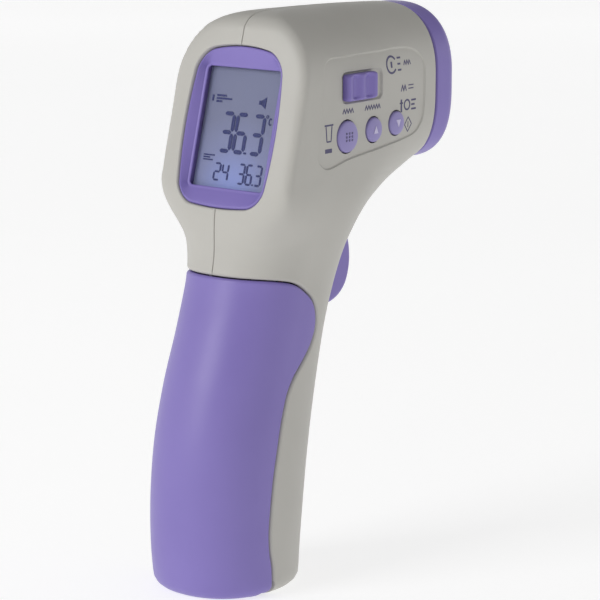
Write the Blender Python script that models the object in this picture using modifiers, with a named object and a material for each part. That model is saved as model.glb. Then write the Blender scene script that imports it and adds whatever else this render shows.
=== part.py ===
"""Non-contact forehead thermometer of pistol form, as a working assembly.

Frame: +Z up, +Y the way the sensor points, +X the side that carries the keys.
The thermometer stands on the flat end of its grip at z = 0, and x = 0 is the
plane in which the two shell halves meet. Sizes below are in millimetres, and
MM turns them into the scene's metres. The design's y = 0 runs through the neck;
the root empty moves it so that the origin is centred under the whole object.
"""

import math

import bmesh
import bpy
import numpy as np
from mathutils import Matrix, Vector

MM = 0.001
CENTRE_SHIFT_Y = 2.51

# Moulding
WALL = 2.0
GAP = 0.3
PARTING = 0.15
BASE_ROUND = 3.5

# Side profile of the body in the plane x = 0, as (y, z)
REAR_PROFILE = [
    (-49.2, 0), (-50.6, 12), (-50.7, 26), (-49.1, 40), (-45.4, 54), (-40.6, 67),
    (-36.4, 80), (-34.6, 88), (-34.4, 95), (-34.0, 100), (-31.6, 110), (-26.5, 130),
    (-22.9, 144), (-21.7, 147), (-19.0, 149), (-14.0, 149.9),
]
FRONT_PROFILE = [
    (-12.4, 0), (-11.5, 10), (-9.4, 25), (-7.0, 40), (-4.0, 55), (-0.7, 68),
    (3.1, 78), (6.8, 87), (12.1, 94), (20.5, 99.8), (30, 104), (36, 106.3), (50, 111),
]
TOP = 150.2
TOP_FALL = 0.0006
SHELL_FRONT = 36.0

# Half widths of the body
HEAD_REAR_HALF = 22.3
HEAD_FRONT_HALF = 18.3
GRIP_HALF = 17.2
GRIP_SWELL = 0.6
PALM_BLEND = (78.0, 105.0)
FACE_BLEND = (90.0, 107.0)

# Tilted display face: the centre of its opening, and the tilt of its top towards +Y
FACE_CENTRE = (0.0, -28.75, 121.1)
FACE_TILT = math.radians(14.7)
FACE_OPENING = (31.6, 42.6, 5.0)
FACE_BOW = 1.6
FACE_ARCH = (1.2, 2.3)
SCREEN = (25.0, 31.4)
GLASS = (26.2, 32.6)
POCKET_BACK = 8.6

# Nose
NOSE_AXIS_Z = 128.0
NOSE_FRONT = 45.8
NOSE_ROUND = 4.5
NOSE_HOLE = 14.0
SENSOR_BORE = 4.8

# Keys on the +X side: name, (y, z), radius
KEYS = [
    ("mode", (-5.8, 117.9), 4.15),
    ("up", (6.2, 118.5), 3.25),
    ("down", (16.7, 119.2), 3.15),
]
KEY_TRAVEL = 0.6
SWITCH_CENTRE = (-0.1, 130.5)
SWITCH_TRAVEL = 3.0
KNOB = (13.5, 7.0)
KNOB_PROUD = 1.0
TRAY = (18.2, 8.0)
TRAY_DEPTH = 1.0
STEM_WIDTH = 2.6
LABEL_DEPTH = 0.4
LABEL_OUTLINE = [
    (-13.0, 138.2), (-5.1, 138.6), (9.4, 138.8), (20.0, 139.0), (26.3, 137.9), (29.6, 134.8),
    (30.2, 129.6), (29.9, 122.2), (28.6, 118.0), (24.3, 115.3), (9.7, 113.5), (-5.0, 112.0),
    (-13.5, 110.4), (-17.0, 111.3), (-19.0, 114.5), (-17.3, 125.6), (-16.0, 134.3),
]
BOARD_FACE = 11.9
BOARD_THICK = 1.2

# Trigger
TRIGGER_PIVOT = (2.0, 93.5)
TRIGGER_HALF = 5.3

# Battery cover, hinged on a pin at the foot of the grip
COVER_PIVOT = (-33.9, 2.2)
KNUCKLE = 2.0
KNUCKLE_SWEEP = 2.8
PIN_RADIUS = 0.9
COVER_SEAM = [
    (-36.0, 83.0), (-28.3, 82.1), (-22.4, 80.8), (-18.0, 78.3), (-14.9, 75.4),
    (-13.4, 71.6), (-13.6, 67.6), (-15.9, 63.6), (-19.3, 60.0), (-22.6, 56.6),
    (-25.0, 53.0), (-26.4, 49.4), (-27.7, 45.0), (-29.2, 38.3), (-30.9, 30.8),
    (-32.2, 23.2), (-33.0, 17.0), (-32.9, 12.0), (-32.1, 7.5),
]

# Power
CELL_RADIUS = 7.25
CELL_LENGTH = 49.5
CELL_SPACING = 7.5
CELL_CENTRE = (-30.4, 39.5)
GRIP_LEAN = math.radians(11.5)

# Fasteners through the left half: (y, z)
SCREWS = [(-8.8, 142.6), (25.5, 139.5), (24.0, 110.0), (-8.0, 97.0), (-16.8, 31.0)]
SCREW_HEAD = 2.3
SCREW_SHANK = 1.2
POST = 3.2


# ---------------------------------------------------------------- scene helpers


def clear_scene():
    for old in list(bpy.data.objects):
        bpy.data.objects.remove(old, do_unlink=True)


def collection(name):
    made = bpy.data.collections.new(name)
    bpy.context.scene.collection.children.link(made)
    return made


def material(name, colour, roughness, metallic=0.0):
    made = bpy.data.materials.new(name)
    made.use_nodes = True
    shader = made.node_tree.nodes["Principled BSDF"]
    shader.inputs["Base Color"].default_value = (*colour, 1.0)
    shader.inputs["Roughness"].default_value = roughness
    shader.inputs["Metallic"].default_value = metallic
    return made


def add(name, mesh_data, finish=None, matrix=None):
    """An object from a bmesh in millimetres: a part if it has a finish, else a cutter."""
    bmesh.ops.scale(mesh_data, vec=(MM, MM, MM), verts=mesh_data.verts)
    mesh = bpy.data.meshes.new(name)
    mesh_data.to_mesh(mesh)
    mesh_data.free()
    made = bpy.data.objects.new(name, mesh)
    if matrix is not None:
        turned_matrix = matrix.copy()
        turned_matrix.translation = turned_matrix.translation * MM
        made.matrix_world = turned_matrix
    if finish is None:
        CUTTERS.objects.link(made)
        made.hide_render = True
        made.display_type = "WIRE"
    else:
        PARTS.objects.link(made)
        mesh.materials.append(finish)
        mesh.shade_smooth()
        mesh.set_sharp_from_angle(angle=math.radians(35))
    return made


def along(axis, centre):
    """A matrix that stands local +Z along the axis, at the centre."""
    turn = Vector((0, 0, 1)).rotation_difference(Vector(axis)).to_matrix().to_4x4()
    return Matrix.Translation(centre) @ turn


def box(name, size, centre, finish=None, tilt=0.0, bevel=0.0):
    """A block; tilt turns it about X, and bevel rounds its edges."""
    data = bmesh.new()
    bmesh.ops.create_cube(data, size=1.0)
    bmesh.ops.scale(data, vec=size, verts=data.verts)
    matrix = Matrix.Translation(centre) @ Matrix.Rotation(tilt, 4, "X")
    made = add(name, data, finish, matrix)
    if bevel:
        round_edges(made, bevel)
    return made


def cylinder(name, radius, length, centre, axis, finish=None, sides=24):
    data = bmesh.new()
    bmesh.ops.create_cone(
        data, cap_ends=True, segments=sides, radius1=radius, radius2=radius, depth=length
    )
    return add(name, data, finish, along(axis, centre))


def turned(name, profile, centre, axis, finish, steps=32):
    """A closed (radius, height) profile turned about the axis, listed top to bottom outside."""
    data = bmesh.new()
    points = [data.verts.new((radius, 0, height)) for radius, height in profile]
    for a, b in zip(points, points[1:]):
        data.edges.new((a, b))
    if profile[0][0] > 0:
        data.edges.new((points[-1], points[0]))
    made = add(name, data, finish, along(axis, centre))
    screw = made.modifiers.new("turn", "SCREW")
    screw.steps = screw.render_steps = steps
    screw.use_merge_vertices = True
    screw.merge_threshold = 1e-5
    return made


def round_edges(target, width, segments=2, angle=40):
    bevel = target.modifiers.new("round", "BEVEL")
    bevel.width = width * MM
    bevel.segments = segments
    bevel.limit_method = "ANGLE"
    bevel.angle_limit = math.radians(angle)


def combine(target, other, operation):
    made = target.modifiers.new(operation.lower(), "BOOLEAN")
    made.operation = operation
    made.solver = "EXACT"
    made.object = other


def cut(target, *cutters):
    for cutter in cutters:
        combine(target, cutter, "DIFFERENCE")


def join(target, *others):
    for other in others:
        combine(target, other, "UNION")


def prism(name, outline, centre, finish=None, length=120.0):
    """A (y, z) outline drawn out along X, centred on x = centre."""
    data = bmesh.new()
    low, high = centre - length / 2, centre + length / 2
    near = [data.verts.new((low, y, z)) for y, z in outline]
    far = [data.verts.new((high, y, z)) for y, z in outline]
    data.faces.new(near)
    data.faces.new(far[::-1])
    for i in range(len(outline)):
        j = (i + 1) % len(outline)
        data.faces.new((near[j], near[i], far[i], far[j]))
    bmesh.ops.recalc_face_normals(data, faces=data.faces)
    return add(name, data, finish)


def rounded_rect(width, height, radius, per_corner=5):
    """(x, y) points of a rounded rectangle about the origin, anticlockwise."""
    points = []
    for k, (sx, sy) in enumerate([(1, 1), (-1, 1), (-1, -1), (1, -1)]):
        for i in range(per_corner + 1):
            angle = math.pi / 2 * (k + i / per_corner)
            x = sx * (width / 2 - radius) + radius * math.cos(angle)
            y = sy * (height / 2 - radius) + radius * math.sin(angle)
            points.append((x, y))
    return points


def framed_rect(width, height, radius, per_side=5):
    """A rounded rectangle with points along its straight sides too, so that they can bend."""
    corners = rounded_rect(width, height, radius)
    per_corner = len(corners) // 4
    points = []
    for k, (x, y) in enumerate(corners):
        points.append((x, y))
        if (k + 1) % per_corner == 0:
            end_x, end_y = corners[(k + 1) % len(corners)]
            shares = [i / (per_side + 1) for i in range(1, per_side + 1)]
            points += [(x + (end_x - x) * share, y + (end_y - y) * share) for share in shares]
    return points


def face_outline(inset=0.0):
    """The display opening: a rounded rectangle with bowed sides and an arched top and foot."""
    width, height, radius = FACE_OPENING
    low, high = FACE_ARCH
    half_w, half_h = width / 2 - FACE_BOW - inset, (height - low - high) / 2 - inset
    points = []
    for x, y in framed_rect(2 * half_w, 2 * half_h, radius - inset):
        arch = (high if y > 0 else low) * (1 - (x / half_w) ** 2)
        bow = FACE_BOW * (1 - (y / half_h) ** 2)
        points.append((x + math.copysign(bow, x), y + math.copysign(arch, y) + (low - high) / 2))
    return points


def loft(name, rings, finish=None, matrix=None, closed=False):
    """Skins rings of equal point count; the ends are capped, or joined when closed."""
    data = bmesh.new()
    loops = [[data.verts.new(point) for point in ring] for ring in rings]
    pairs = list(zip(loops, loops[1:]))
    if closed:
        pairs.append((loops[-1], loops[0]))
    else:
        data.faces.new(loops[0][::-1])
        data.faces.new(loops[-1])
    for low, high in pairs:
        for i in range(len(low)):
            j = (i + 1) % len(low)
            data.faces.new((low[i], low[j], high[j], high[i]))
    bmesh.ops.remove_doubles(data, verts=data.verts, dist=1e-4)
    bmesh.ops.dissolve_degenerate(data, edges=data.edges, dist=1e-4)
    bmesh.ops.recalc_face_normals(data, faces=data.faces)
    return add(name, data, finish, matrix)


# ---------------------------------------------------------------- body form


def spline(points, steps=8):
    """A Catmull-Rom curve through the points."""
    p = np.array(points, float)
    p = np.vstack([2 * p[0] - p[1], p, 2 * p[-1] - p[-2]])
    curve = []
    for i in range(1, len(p) - 2):
        a, b, c, d = p[i - 1 : i + 3]
        for t in np.arange(steps) / steps:
            square = (2 * a - 5 * b + 4 * c - d) * t**2
            cube = (3 * b - a - 3 * c + d) * t**3
            curve.append(0.5 * (2 * b + (c - a) * t + square + cube))
    curve.append(p[-2])
    return np.array(curve)


def offset_curve(curve, distance):
    """The curve moved to its left by the distance."""
    along_curve = np.gradient(curve, axis=0)
    along_curve /= np.linalg.norm(along_curve, axis=1, keepdims=True)
    left = np.stack([-along_curve[:, 1], along_curve[:, 0]], axis=1)
    return curve + distance * left


def ease(t):
    t = np.clip(t, 0, 1)
    return t * t * (3 - 2 * t)


def rounding(distance, reach, power):
    """0 at an edge, 1 from reach inwards, along a superellipse."""
    t = np.clip(distance / reach, 0, 1)
    return (1 - (1 - t) ** power) ** (1 / power)


def distance_to(curve, y, z):
    start, step = curve[:-1], np.diff(curve, axis=0)
    points = np.stack([y, z], axis=-1)[:, None, :]
    t = ((points - start) * step).sum(-1) / (step**2).sum(-1)
    nearest = start + np.clip(t, 0, 1)[..., None] * step
    return np.linalg.norm(nearest - points, axis=-1).min(axis=-1)


def half_width(y, z):
    taper = (HEAD_REAR_HALF - HEAD_FRONT_HALF) / (SHELL_FRONT + 24)
    head = HEAD_REAR_HALF - taper * np.clip(y + 24, 0, 60)
    grip = GRIP_HALF + GRIP_SWELL * ease((40 - z) / 40)
    low, high = PALM_BLEND
    return grip + (head - grip) * ease((z - low) / (high - low))


def outline_at(z, inset):
    """The offset front profile, and the y of the rear and front edges at height z."""
    rear = offset_curve(spline(REAR_PROFILE), -inset)
    front = offset_curve(spline(FRONT_PROFILE), inset)
    first = float(np.interp(z, rear[:, 1], rear[:, 0]))
    last = float(np.interp(z, front[:, 1], front[:, 0]))
    return front, first, last


def surface_x(y, z, inset=0.0):
    """How far the body's side stands from the parting plane at each y of one height."""
    foot = 0.0
    if z < BASE_ROUND:
        foot = BASE_ROUND - math.sqrt(BASE_ROUND**2 - (BASE_ROUND - z) ** 2)
    inset = inset + foot
    front, first, _ = outline_at(z, inset)
    level = np.full_like(y, z)
    low, high = FACE_BLEND
    face = ease((z - low) / (high - low))
    nose = np.clip((y - 10) / 26, 0, 1)
    x = half_width(y, level) - inset
    x = x * rounding(y - first, 18 - 14.4 * face - inset * (1 - 0.5 * face), 2.2 + 1.3 * face)
    x = x * rounding(distance_to(front, y, level), 18 + 2 * nose - inset, 2.4 + 0.4 * nose)
    ceiling = TOP - TOP_FALL * np.maximum(y, 0) ** 2 - (inset - foot)
    return x * rounding(ceiling - z, 19 - inset, 2.15 + 0.2 * nose)


def side_x(y, z):
    """The body's outer x at one place."""
    return float(surface_x(np.array([float(y)]), z)[0])


def body_ring(z, inset, front_end, columns):
    """One level section of the body, inset from its outer surface, as a closed ring."""
    foot = 0.0
    if z < BASE_ROUND:
        foot = BASE_ROUND - math.sqrt(BASE_ROUND**2 - (BASE_ROUND - z) ** 2)
    _, first, last = outline_at(z, inset + foot)
    last = min(last, front_end)
    s = np.linspace(0, 1, columns)
    y = first + (last - first) * (1 - np.cos(math.pi * s)) / 2
    right = [(float(a), float(b), z) for a, b in zip(surface_x(y, z, inset), y)]
    end = [(0.0, last, z)]
    left = [(-a, b, c) for a, b, c in right[:0:-1]]
    return right + end + left


def levels(low, high):
    """Heights of the sections: close together where the outline turns fast."""
    marks = [0.0, 0.4, 1.2, 3.0, 12, 22, 32, 42, 52, 60, 68, 76, 83, 89, 93, 96.5, 99.5, 102, 104.5]
    marks += [107, 110, 115, 122, 130, 137, 142, 145.5, 147.6, 149.0, 149.7]
    inner = [mark for mark in marks if low + 0.2 < mark < high - 0.15]
    return [low] + inner + [high]


def body(name, inset=0.0, front_end=SHELL_FRONT, columns=13):
    """The closed solid that the shells' outside (inset 0) or inside (inset WALL) follows."""
    low = inset
    high = TOP - 0.25 - inset
    rings = [body_ring(z, inset, front_end, columns) for z in levels(low, high)]
    return loft(name, rings)


def cover_outline(grow):
    """The battery cover's side outline, grown by grow, from above the rear edge round to below."""
    seam = spline(COVER_SEAM, 2)
    y, z = COVER_PIVOT
    radius = KNUCKLE
    arc = [math.radians(a) for a in (20, -15, -50, -85, -120)]
    hinge = [(y + radius * math.cos(a), z + radius * math.sin(a)) for a in arc]
    edge = np.vstack([[(-70.0, 83.6)], seam, hinge, [(y - 3.4, -6.0)]])
    edge = offset_curve(edge, grow)
    return [tuple(point) for point in edge] + [(-70.0, -6.0)]


def face_matrix(depth=0.0):
    """Local X across the display, local Y up it, local Z out of it; depth is inwards."""
    turn = Matrix.Rotation(math.pi / 2 - FACE_TILT, 4, "X")
    return Matrix.Translation(FACE_CENTRE) @ turn @ Matrix.Translation((0, 0, -depth))


def face_slab(name, outline, front, back, finish=None):
    """An outline in the display's frame, drawn from depth front to depth back."""
    rings = [[(x, y, -depth) for x, y in outline] for depth in (back, front)]
    return loft(name, rings, finish, face_matrix())


def plate(name, size, radius, front, back, finish):
    """A rounded rectangle in the display's frame, from depth front to depth back."""
    return face_slab(name, rounded_rect(*size, radius), front, back, finish)


# ---------------------------------------------------------------- casing


def shell(name, side, finish, outer, inner):
    """One half of the casing; side is +1 for the half with the keys."""
    half = box("half_" + name, (60, 160, 220), (side * (30 + PARTING), 0, 75))
    made = bpy.data.objects.new(name, outer.data.copy())
    PARTS.objects.link(made)
    made.data.materials.append(finish)
    combine(made, half, "INTERSECT")
    cut(made, inner)
    cut(made, face_slab("face_hole_" + name, face_outline(), -9, 6.5))
    cut(made, prism("cover_hole_" + name, cover_outline(GAP), 0))
    sweep = cylinder("hinge_sweep_" + name, KNUCKLE_SWEEP, 60, (0, *COVER_PIVOT), (1, 0, 0))
    cut(made, sweep)
    slot = box("trigger_slot_" + name, (2 * TRIGGER_HALF + 1, 26, 29), (0, 8, 83.4))
    cut(made, slot)
    join(made, *screw_bosses(name, side))
    join(made, trigger_boss(name, side))
    join(made, hinge_ear(name, side))
    cut(made, *screw_bores(name, side))
    cut(made, cylinder("trigger_bore_" + name, 1.35, 18.4, (0, *TRIGGER_PIVOT), (1, 0, 0)))
    cut(made, cylinder("ear_bore_" + name, PIN_RADIUS + 0.1, 28, (0, *COVER_PIVOT), (1, 0, 0)))
    return made


def post_reach(y, z):
    """How far out a post at (y, z) may go and stay inside the wall all round its edge."""
    around = [(POST * math.cos(a), POST * math.sin(a)) for a in np.linspace(0, 2 * math.pi, 8)]
    return min(side_x(y + dy, z + dz) for dy, dz in around) - 0.5


def screw_bosses(name, side):
    """Posts from the parting plane to the side wall, one for each screw."""
    posts = []
    for i, (y, z) in enumerate(SCREWS):
        length = post_reach(y, z) - PARTING
        centre = (side * (PARTING + length / 2), y, z)
        posts.append(cylinder(f"post_{name}_{i}", POST, length, centre, (1, 0, 0), sides=16))
    return posts


def screw_bores(name, side):
    """Pilot holes in the right half; clearance holes with sunk heads in the left."""
    bores = []
    for i, (y, z) in enumerate(SCREWS):
        if side > 0:
            bores.append(cylinder(f"pilot_{i}", SCREW_SHANK + 0.1, 14, (4, y, z), (1, 0, 0), sides=16))
            continue
        bores.append(cylinder(f"pass_{i}", SCREW_SHANK + 0.3, 60, (-10, y, z), (1, 0, 0), sides=16))
        bores.append(cylinder(f"sink_{i}", SCREW_HEAD + 0.4, 30, (-22.0, y, z), (1, 0, 0), sides=16))
    return bores


def trigger_boss(name, side):
    start = TRIGGER_HALF + 0.5
    length = post_reach(*TRIGGER_PIVOT) - start
    centre = (side * (start + length / 2), *TRIGGER_PIVOT)
    return cylinder("trigger_post_" + name, POST, length, centre, (1, 0, 0), sides=16)


def hinge_ear(name, side):
    """The lug that carries the cover's hinge pin."""
    y, z = COVER_PIVOT
    outline = [(y + KNUCKLE * math.cos(a), z + KNUCKLE * math.sin(a)) for a in
               np.linspace(math.pi / 2, 3 * math.pi / 2, 9)]
    outline += [(y + 7.0, z - KNUCKLE), (y + 7.0, z + KNUCKLE)]
    return prism("ear_" + name, outline, side * 6.3, length=4.4)


def right_openings(target):
    """Label recess, key holes, and the slide switch's tray and slot in the right half."""
    recess = prism("label_recess", LABEL_OUTLINE, 38, length=60)
    cut(recess, body("label_floor", LABEL_DEPTH))
    cut(target, recess)
    for name, (y, z), radius in KEYS:
        cut(target, cylinder("hole_" + name, radius + GAP, 20, (22, y, z), (1, 0, 0), sides=28))
    y, z = SWITCH_CENTRE
    floor = side_x(y, z) - TRAY_DEPTH
    middle = y + SWITCH_TRAVEL / 2
    cut(target, box("switch_tray", (20, *TRAY), (floor + 10, middle, z)))
    slot = (20, STEM_WIDTH + SWITCH_TRAVEL + 2 * GAP, STEM_WIDTH + 2 * GAP)
    cut(target, box("stem_slot", slot, (22, middle, z)))


def sound_holes(targets):
    """Small drilled holes over the buzzer, set out as a diamond in the grip's front."""
    centre_z, pitch, reach = 14.0, 2.3, 5
    k = 0
    for target, side in targets:
        for row in range(1 - reach, reach):
            for column in range(reach - abs(row)):
                x = side * (0.5 + column) * pitch
                centre = (x, -12, centre_z + row * pitch)
                cut(target, cylinder(f"sound_{k}", 0.5, 12, centre, (0, 1, 0), sides=6))
                k += 1


def battery_cover(finish, outer, inner):
    """The rear of the grip, with its hinge knuckles at the foot."""
    made = bpy.data.objects.new("battery_cover", outer.data.copy())
    PARTS.objects.link(made)
    made.data.materials.append(finish)
    combine(made, prism("cover_block", cover_outline(0.0), 0), "INTERSECT")
    cut(made, inner)
    cut(made, cylinder("ear_room", KNUCKLE_SWEEP, 18.2, (0, *COVER_PIVOT), (1, 0, 0)))
    for side in (-1, 1):
        centre = (side * 11.4, *COVER_PIVOT)
        join(made, cylinder(f"knuckle_{side}", KNUCKLE, 4.0, centre, (1, 0, 0)))
        web = box(f"web_{side}", (4.0, 3.0, 1.4), (side * 11.4, COVER_PIVOT[0] - 1.9, 1.5))
        join(made, web)
    cut(made, cylinder("knuckle_bore", PIN_RADIUS + 0.1, 28, (0, *COVER_PIVOT), (1, 0, 0)))
    latch = box("latch", (9, 4.0, 1.6), (0, -33.1, 80.8))
    join(made, latch)
    return set_origin(made, (0, *COVER_PIVOT))


def set_origin(target, point):
    """Moves an object's origin to a point given in millimetres, and leaves its shape in place."""
    place = Vector(point) * MM
    target.data.transform(Matrix.Translation(-(target.matrix_world.inverted() @ place)))
    target.matrix_world.translation = place
    return target


# ---------------------------------------------------------------- nose and sensor


def oval(y, inset, count=32):
    """The body's section at its front end, moved to y and shrunk all round by inset."""
    top = TOP - TOP_FALL * SHELL_FRONT**2 - 0.02
    bottom = float(np.interp(SHELL_FRONT, *np.array(FRONT_PROFILE).T)) + 0.02
    middle, reach = (top + bottom) / 2, (top - bottom) / 2
    ring = []
    for i in range(count):
        angle = 2 * math.pi * i / count
        z = middle + reach * math.sin(angle)
        x = math.copysign(side_x(SHELL_FRONT, z), math.cos(angle))
        if abs(math.cos(angle)) < 1e-6:
            x = 0.0
        ring.append((x * (1 - inset / HEAD_FRONT_HALF), y, middle + (z - middle) * (1 - inset / reach)))
    return ring


def nose_ring(finish):
    """Front ring with a rounded lip and a spigot that enters the shells."""
    spigot = WALL + 3 * GAP
    rings = [oval(32.0, spigot), oval(SHELL_FRONT + GAP - 0.05, spigot), oval(SHELL_FRONT + GAP, 0.1)]
    for k in range(5):
        angle = math.pi / 2 * k / 4
        inset = 0.2 + NOSE_ROUND * (1 - math.cos(angle))
        rings.append(oval(NOSE_FRONT - NOSE_ROUND * (1 - math.sin(angle)), inset))
    made = loft("nose_ring", rings, finish)
    hole = cylinder("nose_hole", NOSE_HOLE + GAP, 30, (0, 40, NOSE_AXIS_Z), (0, 1, 0), sides=40)
    cut(made, hole)
    return made


def sensor_group(plastic, brass, steel, dark, board):
    """Funnel, barrel, thermopile can, its window and its small board, on the nose's axis."""
    centre = (0, 0, NOSE_AXIS_Z)
    forward = (0, 1, 0)
    outer_mouth, inner_mouth = NOSE_HOLE, NOSE_HOLE - 1.2
    funnel = [
        (outer_mouth, 45.0), (outer_mouth, 41.0), (7.6, 29.5), (5.4, 29.5),
        (inner_mouth - 1.2, 42.0), (inner_mouth, 45.0),
    ]
    turned("sensor_funnel", funnel, centre, forward, plastic, steps=40)
    barrel = [(7.2, 29.2), (7.2, 15.0), (SENSOR_BORE, 15.0), (SENSOR_BORE, 29.2)]
    turned("sensor_barrel", barrel, centre, forward, brass)
    can = [(0, 24.0), (4.2, 24.0), (4.2, 18.8), (4.6, 18.8), (4.6, 18.0), (0, 18.0)]
    turned("sensor_can", can, centre, forward, steel, steps=24)
    window = [(0, 24.7), (2.4, 24.7), (2.4, 24.3), (0, 24.3)]
    turned("sensor_window", window, centre, forward, dark, steps=20)
    box("sensor_board", (13, 1.2, 13), (0, 13.6, NOSE_AXIS_Z), board)


# ---------------------------------------------------------------- display


def display_group(purple, clear, lcd, white, rubber, board):
    """Bezel and what it holds, stacked inwards from the display face."""
    outline, edge = face_outline(GAP), face_outline(GAP + 0.5)
    inside = framed_rect(SCREEN[0] + 0.8, SCREEN[1] + 0.8, 1.6)
    screen = framed_rect(*SCREEN, 1.2)
    pocket = framed_rect(GLASS[0] + 2 * GAP, GLASS[1] + 2 * GAP, 1.0)
    steps = [(outline, POCKET_BACK), (outline, 1.5), (edge, 1.0), (inside, 2.5), (screen, 2.8),
             (screen, 3.1), (pocket, 3.1), (pocket, POCKET_BACK)]
    rings = [[(x, y, -depth) for x, y in ring] for ring, depth in steps]
    loft("display_bezel", rings, purple, face_matrix(), closed=True)
    plate("display_window", GLASS, 0.8, 3.4, 4.4, clear)
    plate("lcd_panel", (GLASS[0] - 0.4, GLASS[1] - 0.4), 0.6, 4.7, 6.2, lcd)
    plate("backlight", (GLASS[0] - 0.4, GLASS[1] - 5.0), 0.6, 6.5, 8.4, white)
    strip = box("contact_strip", (20, 1.8, 2.2), (0, 0, 0), rubber)
    place_in_face(strip, (0, GLASS[1] / 2 - 1.3, -7.6))
    plate("display_board", (30.0, 39.0), 1.0, 8.9, 10.1, board)


def place_in_face(target, point):
    """Puts an object at a point of the display's frame, turned with it."""
    matrix = face_matrix() @ Matrix.Translation(point)
    matrix.translation = matrix.translation * MM
    target.matrix_world = matrix


# ---------------------------------------------------------------- controls


def key_group(purple, black):
    """Three keys that travel along -X, each over its own dome switch."""
    switch_top = BOARD_FACE + GAP + 3.2
    for name, (y, z), radius in KEYS:
        crown = side_x(y, z) + 0.6
        inside = side_x(y + radius + 1, z - 2) - WALL - GAP
        foot = switch_top + KEY_TRAVEL + 0.2
        profile = [
            (0, crown), (radius * 0.55, crown - 0.1), (radius - 0.4, crown - 0.35),
            (radius, crown - 0.9), (radius, inside), (radius + 1.0, inside),
            (radius + 1.0, inside - 0.6), (1.6, inside - 0.6), (1.6, foot), (0, foot),
        ]
        turned(name + "_button", profile, (0, y, z), (1, 0, 0), purple, steps=20)
        body_centre = (BOARD_FACE + GAP + 1.3, y, z)
        made = box(name + "_key_switch", (2.6, 6, 6), body_centre, black)
        plunger = cylinder(name + "_plunger", 1.5, 2, (switch_top - 1.0, y, z), (1, 0, 0), sides=16)
        join(made, plunger)


def slide_group(purple, black):
    y, z = SWITCH_CENTRE
    top = side_x(y, z) + KNOB_PROUD
    base = side_x(y, z) - TRAY_DEPTH + 0.2
    knob = box("slide_knob", (top - base, *KNOB), ((top + base) / 2, y, z), purple, bevel=0.5)
    flange_x = side_x(y + KNOB[0], z) - WALL - GAP - 0.5
    stem_foot = flange_x - 2.3
    stem = (base + 0.3 - stem_foot, STEM_WIDTH, STEM_WIDTH)
    join(knob, box("knob_stem", stem, ((base + 0.3 + stem_foot) / 2, y, z)))
    join(knob, box("knob_flange", (1.0, 11.0, 5.6), (flange_x, y, z)))
    body_height = stem_foot - GAP - (BOARD_FACE + GAP)
    centre = (BOARD_FACE + GAP + body_height / 2, y + SWITCH_TRAVEL / 2, z)
    box("slide_switch", (body_height, 10, 5), centre, black)


def trigger_group(purple, steel, black):
    """Trigger on its pin, with a torsion spring beside its hub and a switch behind it."""
    outline = spline([
        (14.4, 88.0), (15.5, 83.0), (15.1, 78.3), (13.3, 74.1), (10.0, 71.3), (5.6, 70.0),
        (1.8, 70.6), (0.6, 76.0), (0.0, 82.0), (-1.8, 90.0), (-1.6, 95.5), (2.0, 97.6),
        (6.0, 96.4), (10.4, 93.0),
    ], 2)
    made = prism("trigger", [tuple(p) for p in outline], 0, purple, 2 * TRIGGER_HALF)
    round_edges(made, 1.6, 2, 50)
    pivot = (0, *TRIGGER_PIVOT)
    cut(made, cylinder("trigger_eye", 1.25, 30, pivot, (1, 0, 0)))
    pocket = cylinder("spring_pocket", 3.0, 4.0, (3.6, *TRIGGER_PIVOT), (1, 0, 0))
    cut(made, pocket)
    set_origin(made, pivot)
    cylinder("trigger_pin", 1.15, 17.6, pivot, (1, 0, 0), steel, sides=24)
    coil("trigger_spring", 2.2, 0.35, 3.0, 3, pivot, (1, 0, 0), steel, start=2.1)
    box("trigger_switch", (7.0, 4.0, 7.0), (0, -4.0, 76.5), black)


def coil(name, radius, wire, length, turns, centre, axis, finish, start=0.0):
    """A helical spring as a swept wire along the axis, from start to start + length."""
    curve = bpy.data.curves.new(name, "CURVE")
    curve.dimensions = "3D"
    curve.bevel_depth = wire * MM
    curve.bevel_resolution = 1
    curve.use_fill_caps = True
    path = curve.splines.new("POLY")
    count = turns * 10 + 1
    path.points.add(count - 1)
    for i in range(count):
        angle = 2 * math.pi * i / 10
        height = start + length * i / (count - 1)
        place = Vector((radius * math.cos(angle), radius * math.sin(angle), height)) * MM
        path.points[i].co = (*place, 1)
    made = bpy.data.objects.new(name, curve)
    matrix = along(axis, centre)
    matrix.translation = matrix.translation * MM
    made.matrix_world = matrix
    curve.materials.append(finish)
    PARTS.objects.link(made)
    return made


# ---------------------------------------------------------------- electronics


def boards(green, black):
    main = box("main_board", (BOARD_THICK, 36.0, 30.0),
               (BOARD_FACE - BOARD_THICK / 2, 7.0, 123.0), green)
    for i, (y, z) in enumerate(SCREWS[1:3]):
        cut(main, cylinder(f"board_notch_{i}", 4.0, 40, (8, y, z), (1, 0, 0), sides=16))
    box("main_chip", (1.4, 9, 9), (BOARD_FACE - BOARD_THICK - GAP - 0.7, 2.0, 121.0), black)
    cylinder("buzzer", 6.0, 4.0, (0, -20.3, 13.5), (0, 1, 0), black, sides=28)


def lean(point):
    """A point of the battery bay: x across, y rearwards to forwards, z along the cells."""
    x, y, z = point
    c, s = math.cos(-GRIP_LEAN), math.sin(-GRIP_LEAN)
    return (x, CELL_CENTRE[0] + y * c - z * s, CELL_CENTRE[1] + y * s + z * c)


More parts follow.
